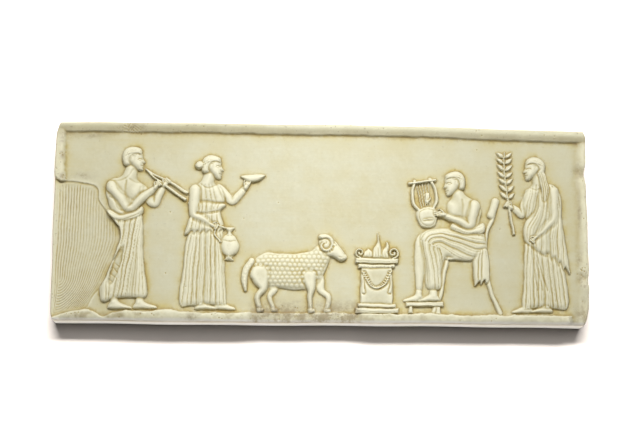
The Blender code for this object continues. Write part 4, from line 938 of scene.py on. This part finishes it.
def with_scratches(height, x, z):
    """Cuts a patch of slanting scratches into the top border."""
    here = bell(x, SCRATCH_PLACE, SCRATCH_WIDTH) * ramp(z, HEIGHT - TOP_BORDER, HEIGHT - TOP_BORDER + 1 * MM)
    for lean, pitch, seed in SCRATCHES:
        track = (x - lean * z) / pitch + 0.8 * mottle(x, z, 5 * MM, seed)
        groove = bell(np.abs(track % 1 - 0.5), 0, 0.14) * (mottle(x, z, 2.5 * MM, seed + 2) > -0.1)
        height = height - SCRATCH_CUT * here * groove
    return height


def with_losses(height, x, z):
    """Takes out the gouges and the lost foot of the right border."""
    for inward, share, depth, radius in GOUGES:
        away = np.hypot(x - LENGTH + inward, z - share * HEIGHT) * (1 + 0.3 * rough(x, z, 3 * MM, 91))
        height = height - depth * bell(away, 0, radius)
    lost = ramp(LOST_HEIGHT - z + lumpy(x, z, LOST_EDGE_LUMPS), 0, 5 * MM)
    lost = lost * ramp(x, LENGTH - LOST_WIDTH, LENGTH - LOST_WIDTH + 2.5 * MM)
    height = np.maximum(height - LOST_DEPTH * lost, -0.8 * MM)
    return height + lost * lumpy(x, z, LOST_FACE_LUMPS)


def carved_height(x, z, carving):
    """Height over the field at points of the front. x runs from the left edge and z from the bottom."""
    unit = (HEIGHT - TOP_BORDER - LEDGE) / 100
    height = carving * figures(x / unit, (z - LEDGE) / unit, LENGTH / unit)
    for finish in (with_borders, with_ledge, with_patch, with_flake, with_scratches, with_losses):
        height = finish(height, x, z)
    return height


def rounded_arris(inside):
    """How far the front drops at a distance inside its outline."""
    return ARRIS * (1 - quarter_round(inside / ARRIS))


def comb_tracks(x, z, pitch):
    """The comb's track at each point, counted from the left, and how firmly it was pressed there."""
    share = np.clip((z - LEDGE) / PATCH_HEIGHT / COMB_BEND, 0, 1)
    narrowed = 1 - COMB_NARROWING * (1 - share) ** 1.3
    spread, (turn_x, turn_z) = x / narrowed, COMB_HOOK
    hooked = turn_x + np.hypot(spread - turn_x, np.maximum(turn_z - z, 0))
    track = np.where(spread > turn_x, hooked, spread) / pitch
    track = track + 0.35 * mottle(x, z, 14 * MM, 101) + 0.12 * mottle(x, z, 4 * MM, 102)
    inside = -from_outline(x, z, patch_outline())
    firm = np.clip(0.75 + 0.4 * rough(x, z, 9 * MM, 103), 0.25, 1)
    firm = firm * ramp(inside, 0.4 * MM, 1.6 * MM) * ramp(x, 1.0 * MM, 2.4 * MM)
    top = LEDGE + PATCH_HEIGHT
    lifted = ramp(x, 0.2 * PATCH_WIDTH, 0.6 * PATCH_WIDTH) * ramp(z, turn_z, turn_z + 8 * MM)
    firm = firm * (1 - 0.35 * lifted)
    return track, firm * (1 - ramp(z + 2 * MM * mottle(x, z, 3 * MM, 104), top - 5 * MM, top - 1 * MM))


class Term:
    """A number socket that takes part in sums written as plain maths."""

    def __init__(self, maker, socket):
        self.maker, self.socket = maker, socket

    def sum_of(self, operation, a, b):
        return self.maker.term("ShaderNodeMath", {"operation": operation}, {0: a, 1: b})

    def __add__(self, other):
        return self.sum_of("ADD", self, other)

    def __sub__(self, other):
        return self.sum_of("SUBTRACT", self, other)

    def __mul__(self, other):
        return self.sum_of("MULTIPLY", self, other)

    def __rsub__(self, other):
        return self.sum_of("SUBTRACT", other, self)

    __radd__ = __add__
    __rmul__ = __mul__


class Maker:
    """Adds nodes to one tree, each from its type, its settings and what goes into its sockets."""

    def __init__(self, tree):
        self.tree = tree
        tree.nodes.clear()

    def node(self, kind, settings=None, sockets=None):
        made = self.tree.nodes.new(kind)
        for name, value in (settings or {}).items():
            setattr(made, name, value)
        for key, value in (sockets or {}).items():
            value = value.socket if isinstance(value, Term) else value
            if isinstance(value, bpy.types.NodeSocket):
                self.tree.links.new(value, made.inputs[key])
            else:
                made.inputs[key].default_value = value
        return made

    def term(self, kind, settings=None, sockets=None, output=0):
        return Term(self, self.node(kind, settings, sockets).outputs[output])

    def ramp(self, value, start, end, low=0.0, high=1.0):
        """The value brought smoothly from start..end to low..high."""
        return self.term("ShaderNodeMapRange", {"interpolation_type": "SMOOTHSTEP"},
                         {"Value": value, "From Min": start, "From Max": end, "To Min": low, "To Max": high})


def read_places(mesh):
    """The places of a mesh's corners, one a row."""
    place = np.empty(3 * len(mesh.vertices), np.float32)
    mesh.vertices.foreach_get("co", place)
    return place.reshape(-1, 3).astype(float)


def set_places(mesh, place):
    """Moves a mesh's corners to places, one a row."""
    mesh.vertices.foreach_set("co", place.astype(np.float32).ravel())
    mesh.update()


def set_attribute(mesh, name, values):
    """Keeps one number for each corner of a mesh."""
    layer = mesh.attributes.new(name, "FLOAT", "POINT")
    layer.data.foreach_set("value", values.astype(np.float32).ravel())


def blurred(field, spacing, reach):
    """A grid of heights, smoothed over a reach."""
    rows, columns = field.shape
    whole = np.block([[field, field[:, ::-1]], [field[::-1], field[::-1, ::-1]]])
    v, u = np.fft.fftfreq(2 * rows)[:, None], np.fft.rfftfreq(2 * columns)
    keep = np.exp(-2 * (np.pi * reach / spacing) ** 2 * (u ** 2 + v ** 2))
    return np.fft.irfft2(np.fft.rfft2(whole) * keep, whole.shape)[:rows, :columns]


def spotted(x, z, spots):
    """1 at the middle of each spot, falling off smoothly over its half sizes."""
    return np.max([bell(np.hypot((x - px) / rx, (z - pz) / rz), 0, 1) for px, pz, rx, rz in spots], axis=0)


def front_sheet(sizes):
    """The carved front as an open sheet, with the comb's tracks and the cast's coarseness as attributes."""
    columns, rows = round(LENGTH / sizes.grid), round(HEIGHT / sizes.grid)
    sheet = bmesh.new()
    bmesh.ops.create_grid(sheet, x_segments=columns, y_segments=rows, size=0.5)
    mesh = bpy.data.meshes.new("front")
    sheet.to_mesh(mesh)
    sheet.free()

    share = read_places(mesh)[:, :2] + 0.5
    x = (share[:, 0] - 0.5) * LENGTH
    z = bottom_edge(x) + share[:, 1] * (top_edge(x) - bottom_edge(x))
    x = left_edge(z) + share[:, 0] * (right_edge(z) - left_edge(z))
    inside = np.min((x - left_edge(z), right_edge(z) - x, z - bottom_edge(x), top_edge(x) - z), axis=0)
    along = x + LENGTH / 2
    height = carved_height(along, z, sizes.carving)
    height = blurred(height.reshape(rows + 1, columns + 1), sizes.grid, sizes.softness).ravel()
    height = height + sizes.unevenness * lumpy(along, z, CAST_LUMPS)
    worn = ramp(rough(along, z, 7 * MM, 17), 0.1, 0.7) * (1 - ramp(inside, 0, 1.6 * MM))
    height = height - FOOT_SLOPE_DEPTH * ramp(FOOT_SLOPE - z, 0, FOOT_SLOPE) - sizes.edge_wear * worn
    height = height - rounded_arris(np.clip(inside, 0, ARRIS))
    set_places(mesh, np.column_stack([x, -SLAB - height, z - HEIGHT / 2]))

    track, firm = comb_tracks(along, z, sizes.comb_pitch)
    edge = 1 - ramp(inside, 4 * MM, 5.5 * MM)
    broken = (1 - unbroken(along)) * (1 - ramp(z, 6 * MM, 9 * MM))
    set_attribute(mesh, "track", track)
    set_attribute(mesh, "firm", firm)
    set_attribute(mesh, "coarse", 0.03 + 0.3 * edge + broken + PITTING * spotted(along, z, PITTED))
    return mesh, (rows + 1, columns + 1)


def comb_and_pits_tree(material):
    """A tree that draws the comb's grooves into a sheet and strews it with small pits from the cast."""
    tree = bpy.data.node_groups.new("Comb and pits", "GeometryNodeTree")
    tree.is_modifier = True
    face = tree.interface
    face.new_socket("Sheet", in_out="INPUT", socket_type="NodeSocketGeometry")
    for name in ("Comb depth", "Comb groove width", "Pit size", "Pit depth", "Pits per square metre"):
        face.new_socket(name, in_out="INPUT", socket_type="NodeSocketFloat")
    face.new_socket("Seed", in_out="INPUT", socket_type="NodeSocketInt")
    face.new_socket("Sheet", in_out="OUTPUT", socket_type="NodeSocketGeometry")
    make = Maker(tree)
    given = make.node("NodeGroupInput").outputs

    def attribute(name):
        return make.term("GeometryNodeInputNamedAttribute", {"data_type": "FLOAT"}, {"Name": name})

    def sunk(sheet, depth):
        """The sheet with its points moved into the slab."""
        offset = make.node("ShaderNodeCombineXYZ", None, {"Y": depth}).outputs[0]
        return make.node("GeometryNodeSetPosition", None, {"Geometry": sheet, "Offset": offset}).outputs[0]

    away = make.term("ShaderNodeMath", {"operation": "PINGPONG"}, {0: attribute("track"), 1: 0.5})
    groove = make.ramp(away, 0.0, given["Comb groove width"], 1.0, 0.0)
    combed = sunk(given["Sheet"], groove * attribute("firm") * given["Comb depth"])
    density = attribute("coarse") * given["Pits per square metre"]
    pits = make.node("GeometryNodeDistributePointsOnFaces", {"distribute_method": "RANDOM"},
                     {"Mesh": combed, "Density": density, "Seed": given["Seed"]}).outputs["Points"]
    near = make.term("GeometryNodeProximity", {"target_element": "POINTS"}, {"Geometry": pits},
                     output="Distance")
    pitted = sunk(combed, make.ramp(near, 0.0, given["Pit size"], 1.0, 0.0) * given["Pit depth"])
    real = make.node("GeometryNodeRealizeInstances", None, {"Geometry": pitted}).outputs[0]
    last = make.node("GeometryNodeSetMaterial", None, {"Geometry": real, "Material": material}).outputs[0]
    make.node("NodeGroupOutput", None, {"Sheet": last})
    return tree


def shown_mesh(thing):
    """The mesh of an object with its modifiers' work done, and the object removed."""
    ready = thing.evaluated_get(bpy.context.evaluated_depsgraph_get())
    result = bpy.data.meshes.new_from_object(ready)
    bpy.data.objects.remove(thing)
    return result


def new_object(name, data):
    """A new object in the scene, with a mesh, a lamp or a camera."""
    thing = bpy.data.objects.new(name, data)
    bpy.context.scene.collection.objects.link(thing)
    return thing


def combed_and_pitted(mesh, material, sizes):
    """The sheet with the comb's grooves and the small pits in it."""
    sheet = new_object("front", mesh)
    tree = comb_and_pits_tree(material)
    work = sheet.modifiers.new("comb and pits", "NODES")
    work.node_group = tree
    values = {"Comb depth": sizes.comb_depth, "Comb groove width": sizes.comb_width,
              "Pit size": sizes.pit_size, "Pit depth": sizes.pit_depth, "Pits per square metre": sizes.pits,
              "Seed": sizes.seed}
    for socket in tree.interface.items_tree:
        if socket.in_out == "INPUT" and socket.name in values:
            work[socket.identifier] = values[socket.name]
    return shown_mesh(sheet)


def browned(x, z):
    """How much thin brown wash was left on the borders and on the ledge."""
    below = (top_edge(x - LENGTH / 2) - z) / TOP_BORDER
    cove = 0.75 * ramp(below, 0.25, 0.9)
    cove = cove + (0.45 - 0.33 * ramp(x, 0.30 * LENGTH, 0.50 * LENGTH)) * ramp(below, 0.95, 0.25)
    cove = cove * ramp(below, 1.35, 1.05)
    side = 0.4 * bell(x, LENGTH - RIGHT_BORDER - 0.5 * MM, 1.6 * MM) * ramp(z, 25 * MM, 40 * MM)
    ground = 0.75 * ramp(z, LEDGE, 0.7 * LEDGE) * ramp(rough(x, z, 4 * MM, 151), 0, 0.4)
    ground = ground * (1.2 - 0.8 * ramp(x, 0.60 * LENGTH, 0.80 * LENGTH))
    return np.max([cove, side, ground], axis=0) * np.clip(0.8 + 0.5 * rough(x, z, 12 * MM, 141), 0, 1)


def tone(mesh, shape, spacing):
    """Finds where the wash stays and where it is wiped off, and where highlights and shade are painted on,
    and keeps that as attributes.
    """
    place = read_places(mesh)
    x, z = place[:, 0] + LENGTH / 2, place[:, 2] + HEIGHT / 2
    height = (-place[:, 1]).reshape(shape)
    fine, broad, wide = ((blurred(height, spacing, reach) - height).ravel()
                         for reach in (FINE_REACH, BROAD_REACH, WIDE_REACH))
    set_attribute(mesh, "hollows", np.clip(fine / WASH_DEPTHS[0] + broad / WASH_DEPTHS[1] - 0.1, 0, 1))
    halo = np.maximum(broad / HALO_DEPTHS[1] + wide / HALO_DEPTHS[2], fine / HALO_DEPTHS[0])
    set_attribute(mesh, "halo", np.clip(halo, 0, 1))
    # High places: the wash wiped off them, and a painted highlight on their convex edges; the rubbed spots
    # are real wear.
    worn = -fine / WIPED_AND_HIGHLIT_HEIGHTS[0] - broad / WIPED_AND_HIGHLIT_HEIGHTS[1] - wide / WIPED_AND_HIGHLIT_HEIGHTS[2]
    worn = worn * (1 - 0.55 * (1 - ramp(z, 0.8 * LEDGE, LEDGE)))
    set_attribute(mesh, "worn", np.clip(np.maximum(worn, spotted(x, z, RUBBED)), 0, 1))
    # Painted shade: darker towards both ends, standing in for the light falling off there.
    set_attribute(mesh, "painted_end_shade", ramp(np.abs(x - LENGTH / 2), END_SHADE_START, END_SHADE_END))
    # The pale strip along the foot: untoned stone, also a painted highlight on the lower edge.
    rim = 1 - ramp(z - 0.35 * MM * rough(x, z, 7 * MM, 131), 0.7 * FOOT_BARE_AND_HIGHLIT, 1.3 * FOOT_BARE_AND_HIGHLIT)
    set_attribute(mesh, "rim", rim)
    # The broken stretch and the stains, with painted shadows under the top border at the left.
    broken = (1 - unbroken(x)) * (1 - ramp(z, 5 * MM, 13 * MM))
    set_attribute(mesh, "stained_and_shaded", np.maximum(broken, spotted(x, z, STAINS_AND_SHADOWS)))
    set_attribute(mesh, "browned", browned(x, z))
    beside = np.min((x, LENGTH - x, top_edge(x - LENGTH / 2) - z), axis=0)
    set_attribute(mesh, "edge", 1 - ramp(beside, 3 * MM, 6 * MM))


def thinned(mesh, faces):
    """The sheet with fewer triangles, kept where the carving needs them."""
    sheet = new_object("front", mesh)
    fewer = sheet.modifiers.new("fewer faces", "DECIMATE")
    fewer.ratio = faces / (2 * len(mesh.polygons))
    return shown_mesh(sheet)


def closed_slab(sheet):
    """The front with sides drawn back from its edge, a little draft, slight dents and a flat back."""
    solid = bmesh.new()
    solid.from_mesh(sheet)
    row = [edge for edge in solid.edges if edge.is_boundary]
    for left in range(SIDE_ROWS, 0, -1):
        drawn = bmesh.ops.extrude_edge_only(solid, edges=row)["geom"]
        for corner in (part for part in drawn if isinstance(part, bmesh.types.BMVert)):
            corner.co.x *= 1 + 2 * DRAFT / SIDE_ROWS / LENGTH
            corner.co.z *= 1 + 2 * DRAFT / SIDE_ROWS / HEIGHT
            corner.co.y *= (left - 1) / left
        row = [part for part in drawn if isinstance(part, bmesh.types.BMEdge)]
    bmesh.ops.edgeloop_fill(solid, edges=row)
    bmesh.ops.triangulate(solid, faces=solid.faces[:])
    bmesh.ops.recalc_face_normals(solid, faces=solid.faces[:])
    mesh = bpy.data.meshes.new("plaque")
    solid.to_mesh(mesh)
    solid.free()

    place = read_places(mesh)
    x, y, z = place.T
    dent = SIDE_DENT * rough(x + 0.7 * y, z - 0.7 * y, 5 * MM, 121) ** 2
    dent = dent * ramp(-y, 0, 2 * MM) * (np.arange(len(x)) >= len(sheet.vertices))
    place = np.column_stack([x * (1 - 2 * dent / LENGTH), y, z * (1 - 2 * dent / HEIGHT)])
    set_places(mesh, np.clip(place, *CAD_BOX))
    set_attribute(mesh, "front", ramp(-y, 0.6 * SLAB, SLAB))
    return mesh


def toned_stone(colours):
    """Cast stone with a brown-ochre wash that stays in the hollows and is wiped off the high places, with
    painted highlights, painted shadows and painted shade towards the ends.
    """
    material = bpy.data.materials.new("toned cast stone")
    material.use_nodes = True
    make = Maker(material.node_tree)
    place = make.node("ShaderNodeTexCoord").outputs["Object"]

    def cover(name):
        return make.term("ShaderNodeAttribute", {"attribute_name": name}, output="Fac")

    def clouds(size, detail=3.0, harsh=0.55, where=place):
        """Noise from 0 to 1, with lumps of a size in metres."""
        return make.term("ShaderNodeTexNoise", None,
                         {"Vector": where, "Scale": 1 / size, "Detail": detail, "Roughness": harsh})

    def mix(under, over, share, way="MIX"):
        settings = {"data_type": "RGBA", "clamp_factor": True, "blend_type": way}
        return make.node("ShaderNodeMix", settings, {0: share, 6: under, 7: over}).outputs[2]

    def paint(colour):
        return (*colour, 1.0)

    front, hollows, halo, worn, brown = map(cover, ("front", "hollows", "halo", "worn", "browned"))
    drift = make.ramp(clouds(45 * MM, 2.0), 0.35, 0.68)
    blotches = make.ramp(clouds(11 * MM, 4.0), 0.38, 0.66)
    grain = clouds(1.1 * MM, 4.0, 0.7)
    specks = make.ramp(clouds(1.6 * MM, 1.0) + cover("edge") * 0.05, 0.73, 0.78)
    wiped = make.ramp(clouds(6 * MM, 5.0, 0.65), 0.30, 0.62)
    patchy = make.ramp(clouds(14 * MM, 5.0, 0.65), 0.38, 0.62)
    drawn_out = make.node("ShaderNodeMapping", None, {"Vector": place, "Scale": (0.07, 1.0, 1.0)}).outputs[0]
    strokes = clouds(1.2 * MM, 3.0, 0.6, drawn_out)

    body = mix(paint(colours.stone), paint(colours.honey),
               drift * 0.14 + blotches * 0.16 + (strokes - 0.5) * 0.30)
    # Painted highlight: the pale colour on high places, where the wash is also wiped off.
    body = mix(body, paint(colours.pale), worn * (1.0 - cover("edge") * 0.55))
    body = mix(body, paint(colours.honey), halo * (wiped * 0.6 + patchy * 0.45))
    body = mix(body, paint(colours.umber), cover("edge") * 0.05 + cover("firm") * 0.22 + (grain - 0.5) * 0.4)
    body = mix(body, paint(colours.umber), brown * (wiped * 0.35 + 0.6))
    # The pale strip along the foot: untoned stone, also a painted highlight on the lower edge.
    body = mix(body, paint(colours.bare), cover("rim") * 0.8)
    # Brown stains, and painted shadows under the top border at the left.
    body = mix(body, paint(colours.stain),
               cover("stained_and_shaded") * (make.ramp(clouds(3.5 * MM, 5.0, 0.7), 0.40, 0.62) * 0.7 + 0.25))
    body = mix(body, paint(colours.wash), hollows * (wiped * 0.3 + patchy * 0.25 + 0.2))
    body = mix(body, paint(colours.stain), specks * (cover("edge") * 0.4 + 0.2))
    # Painted shade: the colour is darkened towards both ends, standing in for the light falling off there.
    body = mix(body, paint(colours.painted_end_shade), cover("painted_end_shade") * (1 - cover("edge") * 0.6), "MULTIPLY")
    bare = mix(paint(colours.bare), paint(colours.stone), blotches * 0.35 + specks * 0.3)
    body = mix(bare, body, front)

    rough_finish = 0.60 + hollows * 0.2 - worn * 0.1 + grain * 0.08
    fine = clouds(0.5 * MM, 3.0, 0.5)
    height = fine * 0.35 + grain * 0.65
    bump = make.node("ShaderNodeBump", None,
                     {"Strength": 0.35, "Distance": 0.25 * MM, "Height": height}).outputs[0]
    shader = make.node("ShaderNodeBsdfPrincipled", None,
                       {"Base Color": body, "Roughness": rough_finish, "Normal": bump,
                        "Specular IOR Level": 0.35})
    make.node("ShaderNodeOutputMaterial", None, {"Surface": shader.outputs[0]})
    return material


def plain(name, colour, one_sided=False):
    """A matt material for the stage. A one-sided one isn't seen from behind."""
    material = bpy.data.materials.new(name)
    material.use_nodes = True
    make = Maker(material.node_tree)
    sockets = {"Base Color": (*colour, 1.0), "Roughness": 0.9, "Specular IOR Level": 0.1}
    last = make.node("ShaderNodeBsdfPrincipled", None, sockets).outputs[0]
    if one_sided:
        behind = make.node("ShaderNodeNewGeometry").outputs["Backfacing"]
        clear = make.node("ShaderNodeBsdfTransparent").outputs[0]
        last = make.node("ShaderNodeMixShader", None, {0: behind, 1: last, 2: clear}).outputs[0]
    make.node("ShaderNodeOutputMaterial", None, {"Surface": last})
    return material


def sheet_of(name, centre, turn, material):
    """A flat square of the stage, which faces +Z before its turn about X."""
    square = bmesh.new()
    place = Matrix.Translation(centre) @ Matrix.Rotation(turn, 4, "X")
    bmesh.ops.create_grid(square, x_segments=1, y_segments=1, size=STAGE_HALF, matrix=place)
    mesh = bpy.data.meshes.new(name)
    square.to_mesh(mesh)
    square.free()
    mesh.materials.append(material)
    thing = new_object(name, mesh)
    return thing


def soft_light(name, side, rise, lamp, power, colour=(1.0, 1.0, 1.0), only=None):
    """A lamp that faces the plaque, from a side and a rise off its front. It may light one thing only."""
    distance, extent = lamp
    light = bpy.data.lights.new(name, "AREA")
    light.shape = "RECTANGLE"
    light.size, light.size_y = extent
    light.energy, light.color = power, colour
    thing = new_object(name, light)
    if only:
        thing.light_linking.receiver_collection = bpy.data.collections.new("lit by the " + name)
        thing.light_linking.receiver_collection.objects.link(only)
    from_front = Vector((np.sin(side) * np.cos(rise), -np.cos(side) * np.cos(rise), np.sin(rise)))
    thing.location = distance * from_front
    thing.rotation_mode = "QUATERNION"
    thing.rotation_quaternion = from_front.to_track_quat("Z", "Y")
    return thing


def white_world(stage):
    """A white surround that lights the plaque more weakly than it shows."""
    world = bpy.data.worlds.new("white")
    world.use_nodes = True
    make = Maker(world.node_tree)
    seen = make.node("ShaderNodeLightPath").outputs["Is Camera Ray"]
    strength = make.ramp(seen, 0.0, 1.0, stage.surround, 1.0)
    light = make.node("ShaderNodeBackground", None, {"Color": (1.0, 1.0, 1.0, 1.0), "Strength": strength})
    make.node("ShaderNodeOutputWorld", None, {"Surface": light.outputs[0]})
    bpy.context.scene.world = world


def photo_camera(stage):
    """A camera before the plaque, a little below it, with its own tilt, swing and roll."""
    turn = (Matrix.Rotation(stage.roll, 3, "Z") @ Matrix.Rotation(stage.tilt, 3, "X")
            @ Matrix.Rotation(stage.swing, 3, "Y"))
    eye = -(turn.transposed() @ Vector(stage.offset))
    right, up, ahead = (Vector((row[0], row[2], row[1])) for row in turn)
    camera = bpy.data.cameras.new("camera")
    camera.lens, camera.sensor_width = stage.lens, 36
    camera.clip_start, camera.clip_end = 0.01, 20
    thing = new_object("camera", camera)
    place = Matrix((right, up, -ahead)).transposed().to_4x4()
    place.translation = (eye.x, eye.z - SLAB - LEFT_RISE, eye.y)
    thing.matrix_world = place
    bpy.context.scene.camera = thing


def length_prop(name, description, default):
    return FloatProperty(name=name, description=description, default=default, min=0, unit="LENGTH",
                         precision=5)


def colour_prop(name, description, default):
    return FloatVectorProperty(name=name, description=description, default=default, subtype="COLOR", min=0,
                               max=1)


def power_prop(name, description, default):
    return FloatProperty(name=name, description=description, default=default, min=0, unit="POWER")


def angle_prop(name, description, degrees):
    return FloatProperty(name=name, description=description, default=np.radians(degrees), subtype="ANGLE")


class PlaqueSizes(bpy.types.PropertyGroup):
    """Sizes of the carving and of the cast's surface."""
    carving: length_prop("Carving", "Height of the highest carving over the field", 2.6 * MM)
    grid: length_prop("Grid", "Spacing of the points that are carved", 0.25 * MM)
    softness: length_prop("Softness", "How far the mould has softened every edge", 0.12 * MM)
    unevenness: length_prop("Unevenness", "Height of the cast's gentle lumps", 0.07 * MM)
    edge_wear: length_prop("Edge wear", "Depth of the rubbed places along the edges", 0.35 * MM)
    comb_pitch: length_prop("Comb pitch", "Distance between the comb's teeth", 1.3 * MM)
    comb_depth: length_prop("Comb depth", "Depth of the comb's grooves", 0.34 * MM)
    comb_width: FloatProperty(name="Comb groove width",
                              description="Half width of a groove, as a share of the pitch", default=0.36,
                              min=0, max=0.5)
    pit_size: length_prop("Pit size", "Radius of the small pits", 0.45 * MM)
    pit_depth: length_prop("Pit depth", "Depth of the small pits", 0.4 * MM)
    pits: FloatProperty(name="Pits", description="Pits on a square metre of the roughest surface",
                        default=22000, min=0)
    faces: IntProperty(name="Faces", description="Triangles kept on the front", default=172000, min=1000)
    seed: IntProperty(name="Seed", description="Which arrangement of pits is used", default=4)


class PlaqueColours(bpy.types.PropertyGroup):
    """Colours of the stone and of its toning, some also used for painted highlights and shade."""
    stone: colour_prop("Stone", "The cast's own cream", (0.692, 0.668, 0.482))
    # Pale is also the painted highlight on the high places.
    pale: colour_prop("Pale", "Places where the wash is wiped off", (0.885, 0.850, 0.630))
    honey: colour_prop("Honey", "The glow of thin wash round the carving", (0.605, 0.505, 0.190))
    umber: colour_prop("Umber", "Brown wash left on the borders and the ledge", (0.450, 0.385, 0.215))
    wash: colour_prop("Wash", "Thick wash in the hollows", (0.300, 0.200, 0.068))
    # Stain also paints the shadows under the top border at the left.
    stain: colour_prop("Stain", "Brown stains on broken places", (0.385, 0.322, 0.195))
    # Painted shade: what the darkening towards the ends lets through.
    painted_end_shade: colour_prop("Film", "What the dull film towards the ends lets through", (0.82, 0.815, 0.80))
    # Bare also paints the highlight along the foot.
    bare: colour_prop("Bare", "The untoned sides and back", (0.770, 0.745, 0.680))


class StageValues(bpy.types.PropertyGroup):
    """Light and camera."""
    key: power_prop("Key light", "Power of the main lamp", 4.85)
    key_rise: angle_prop("Key rise", "Height of the main lamp off the plaque's front", 31)
    key_side: angle_prop("Key side", "Turn of the main lamp to the right", 0)
    fill: power_prop("Fill light", "Power of the broad lamp before it", 4.0)
    wall_key: power_prop("Wall key light", "Power added to the main lamp on the wall", 42)
    wall_fill: power_prop("Wall fill light", "Power added to the broad lamp on the wall", 17)
    low: power_prop("Low light", "Power of the lamp below the plaque", 0.42)
    low_colour: colour_prop("Low light colour", "Colour of the lamp below the plaque", (0.94, 0.96, 1.0))
    low_rise: angle_prop("Low rise", "Height of the low lamp off the plaque's front", -100)
    back: power_prop("Back light", "Power of the lamp behind the plaque", 19)
    back_rise: angle_prop("Back rise", "Height of the lamp behind the plaque off its back", 12)
    floor: power_prop("Floor light", "Power of the lamp over the floor alone", 140)
    fill_rise: angle_prop("Fill rise", "Height of the broad lamp off the plaque's front", 15)
    surround: FloatProperty(name="Surround", description="Strength of the light from all round", default=0.03,
                            min=0)
    lens: FloatProperty(name="Lens", description="Focal length in millimetres", default=70, min=10)
    tilt: angle_prop("Tilt", "Tilt of the camera", 8.52)
    swing: angle_prop("Swing", "Swing of the camera", -2.97)
    roll: angle_prop("Roll", "Roll of the camera", -0.37)
    offset: FloatVectorProperty(name="Offset",
                                description="The plaque's middle from the camera: right, up, ahead",
                                default=(1.51 * MM, -0.54 * MM, 579.8 * MM), unit="LENGTH", precision=5)


class PLAQUE_OT_cast(bpy.types.Operator):
    """Make the carved, combed and toned slab"""
    bl_idname = "plaque.cast"
    bl_label = "Cast the plaque"

    def execute(self, context):
        sizes = context.scene.plaque_sizes
        stone = toned_stone(context.scene.plaque_colours)
        sheet, shape = front_sheet(sizes)
        sheet = combed_and_pitted(sheet, stone, sizes)
        tone(sheet, shape, sizes.grid)
        mesh = closed_slab(thinned(sheet, sizes.faces))
        mesh.shade_smooth()
        mesh.set_sharp_from_angle(angle=np.radians(65))
        mesh.materials.append(stone)
        plaque = new_object("relief_plaque", mesh)
        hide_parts("plaque")
        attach(plaque, "root")
        return {"FINISHED"}


class PLAQUE_OT_stage(bpy.types.Operator):
    """Set the wall, the pale floor, the soft lights and the camera"""
    bl_idname = "plaque.stage"
    bl_label = "Set the stage"

    def execute(self, context):
        stage = context.scene.plaque_stage
        white, pale = plain("white wall", WALL_COLOUR, True), plain("pale floor", FLOOR_COLOUR)
        wall = sheet_of("wall", Vector((0, WALL_GAP, 0)), np.radians(90), white)
        wall.visible_shadow = wall.visible_glossy = wall.visible_transmission = False
        floor = sheet_of("floor", Vector((0, 0, FLOOR_LEVEL)), 0.0, pale)
        floor.visible_diffuse = False
        soft_light("key", stage.key_side, stage.key_rise, KEY_LAMP, stage.key)
        soft_light("wall key", stage.key_side, stage.key_rise, KEY_LAMP, stage.wall_key, only=wall)
        soft_light("fill", 0.0, stage.fill_rise, FILL_LAMP, stage.fill)
        soft_light("wall fill", 0.0, stage.fill_rise, FILL_LAMP, stage.wall_fill, only=wall)
        soft_light("low light", 0.0, stage.low_rise, LOW_LAMP, stage.low, stage.low_colour)
        soft_light("back fill", np.radians(180), stage.back_rise, BACK_LAMP, stage.back)
        soft_light("floor light", 0.0, np.radians(90), FLOOR_LAMP, stage.floor, only=floor)
        white_world(stage)
        photo_camera(stage)
        context.scene.view_settings.view_transform = "Standard"
        return {"FINISHED"}


class PLAQUE_PT_panel(bpy.types.Panel):
    """Lists the plaque's values and steps"""
    bl_idname = "PLAQUE_PT_panel"
    bl_label = "Relief plaque"
    bl_space_type = "VIEW_3D"
    bl_region_type = "UI"
    bl_category = "Plaque"

    def draw(self, context):
        for name, step in (("plaque_sizes", "plaque.cast"), ("plaque_colours", None),
                           ("plaque_stage", "plaque.stage")):
            values = getattr(context.scene, name)
            box = self.layout.box()
            for value in values.bl_rna.properties.keys():
                if value not in {"rna_type", "name"}:
                    box.prop(values, value)
            if step:
                box.operator(step)


CLASSES = (PlaqueSizes, PlaqueColours, StageValues, PLAQUE_OT_cast, PLAQUE_OT_stage, PLAQUE_PT_panel)


def register():
    for kind in CLASSES:
        bpy.utils.register_class(kind)
    bpy.types.Scene.plaque_sizes = PointerProperty(type=PlaqueSizes)
    bpy.types.Scene.plaque_colours = PointerProperty(type=PlaqueColours)
    bpy.types.Scene.plaque_stage = PointerProperty(type=StageValues)


def unregister():
    for name in ("plaque_sizes", "plaque_colours", "plaque_stage"):
        delattr(bpy.types.Scene, name)
    for kind in reversed(CLASSES):
        bpy.utils.unregister_class(kind)


def main():
    register()
    bpy.ops.plaque.cast()
    bpy.ops.plaque.stage()


if __name__ == "__main__":
    main()
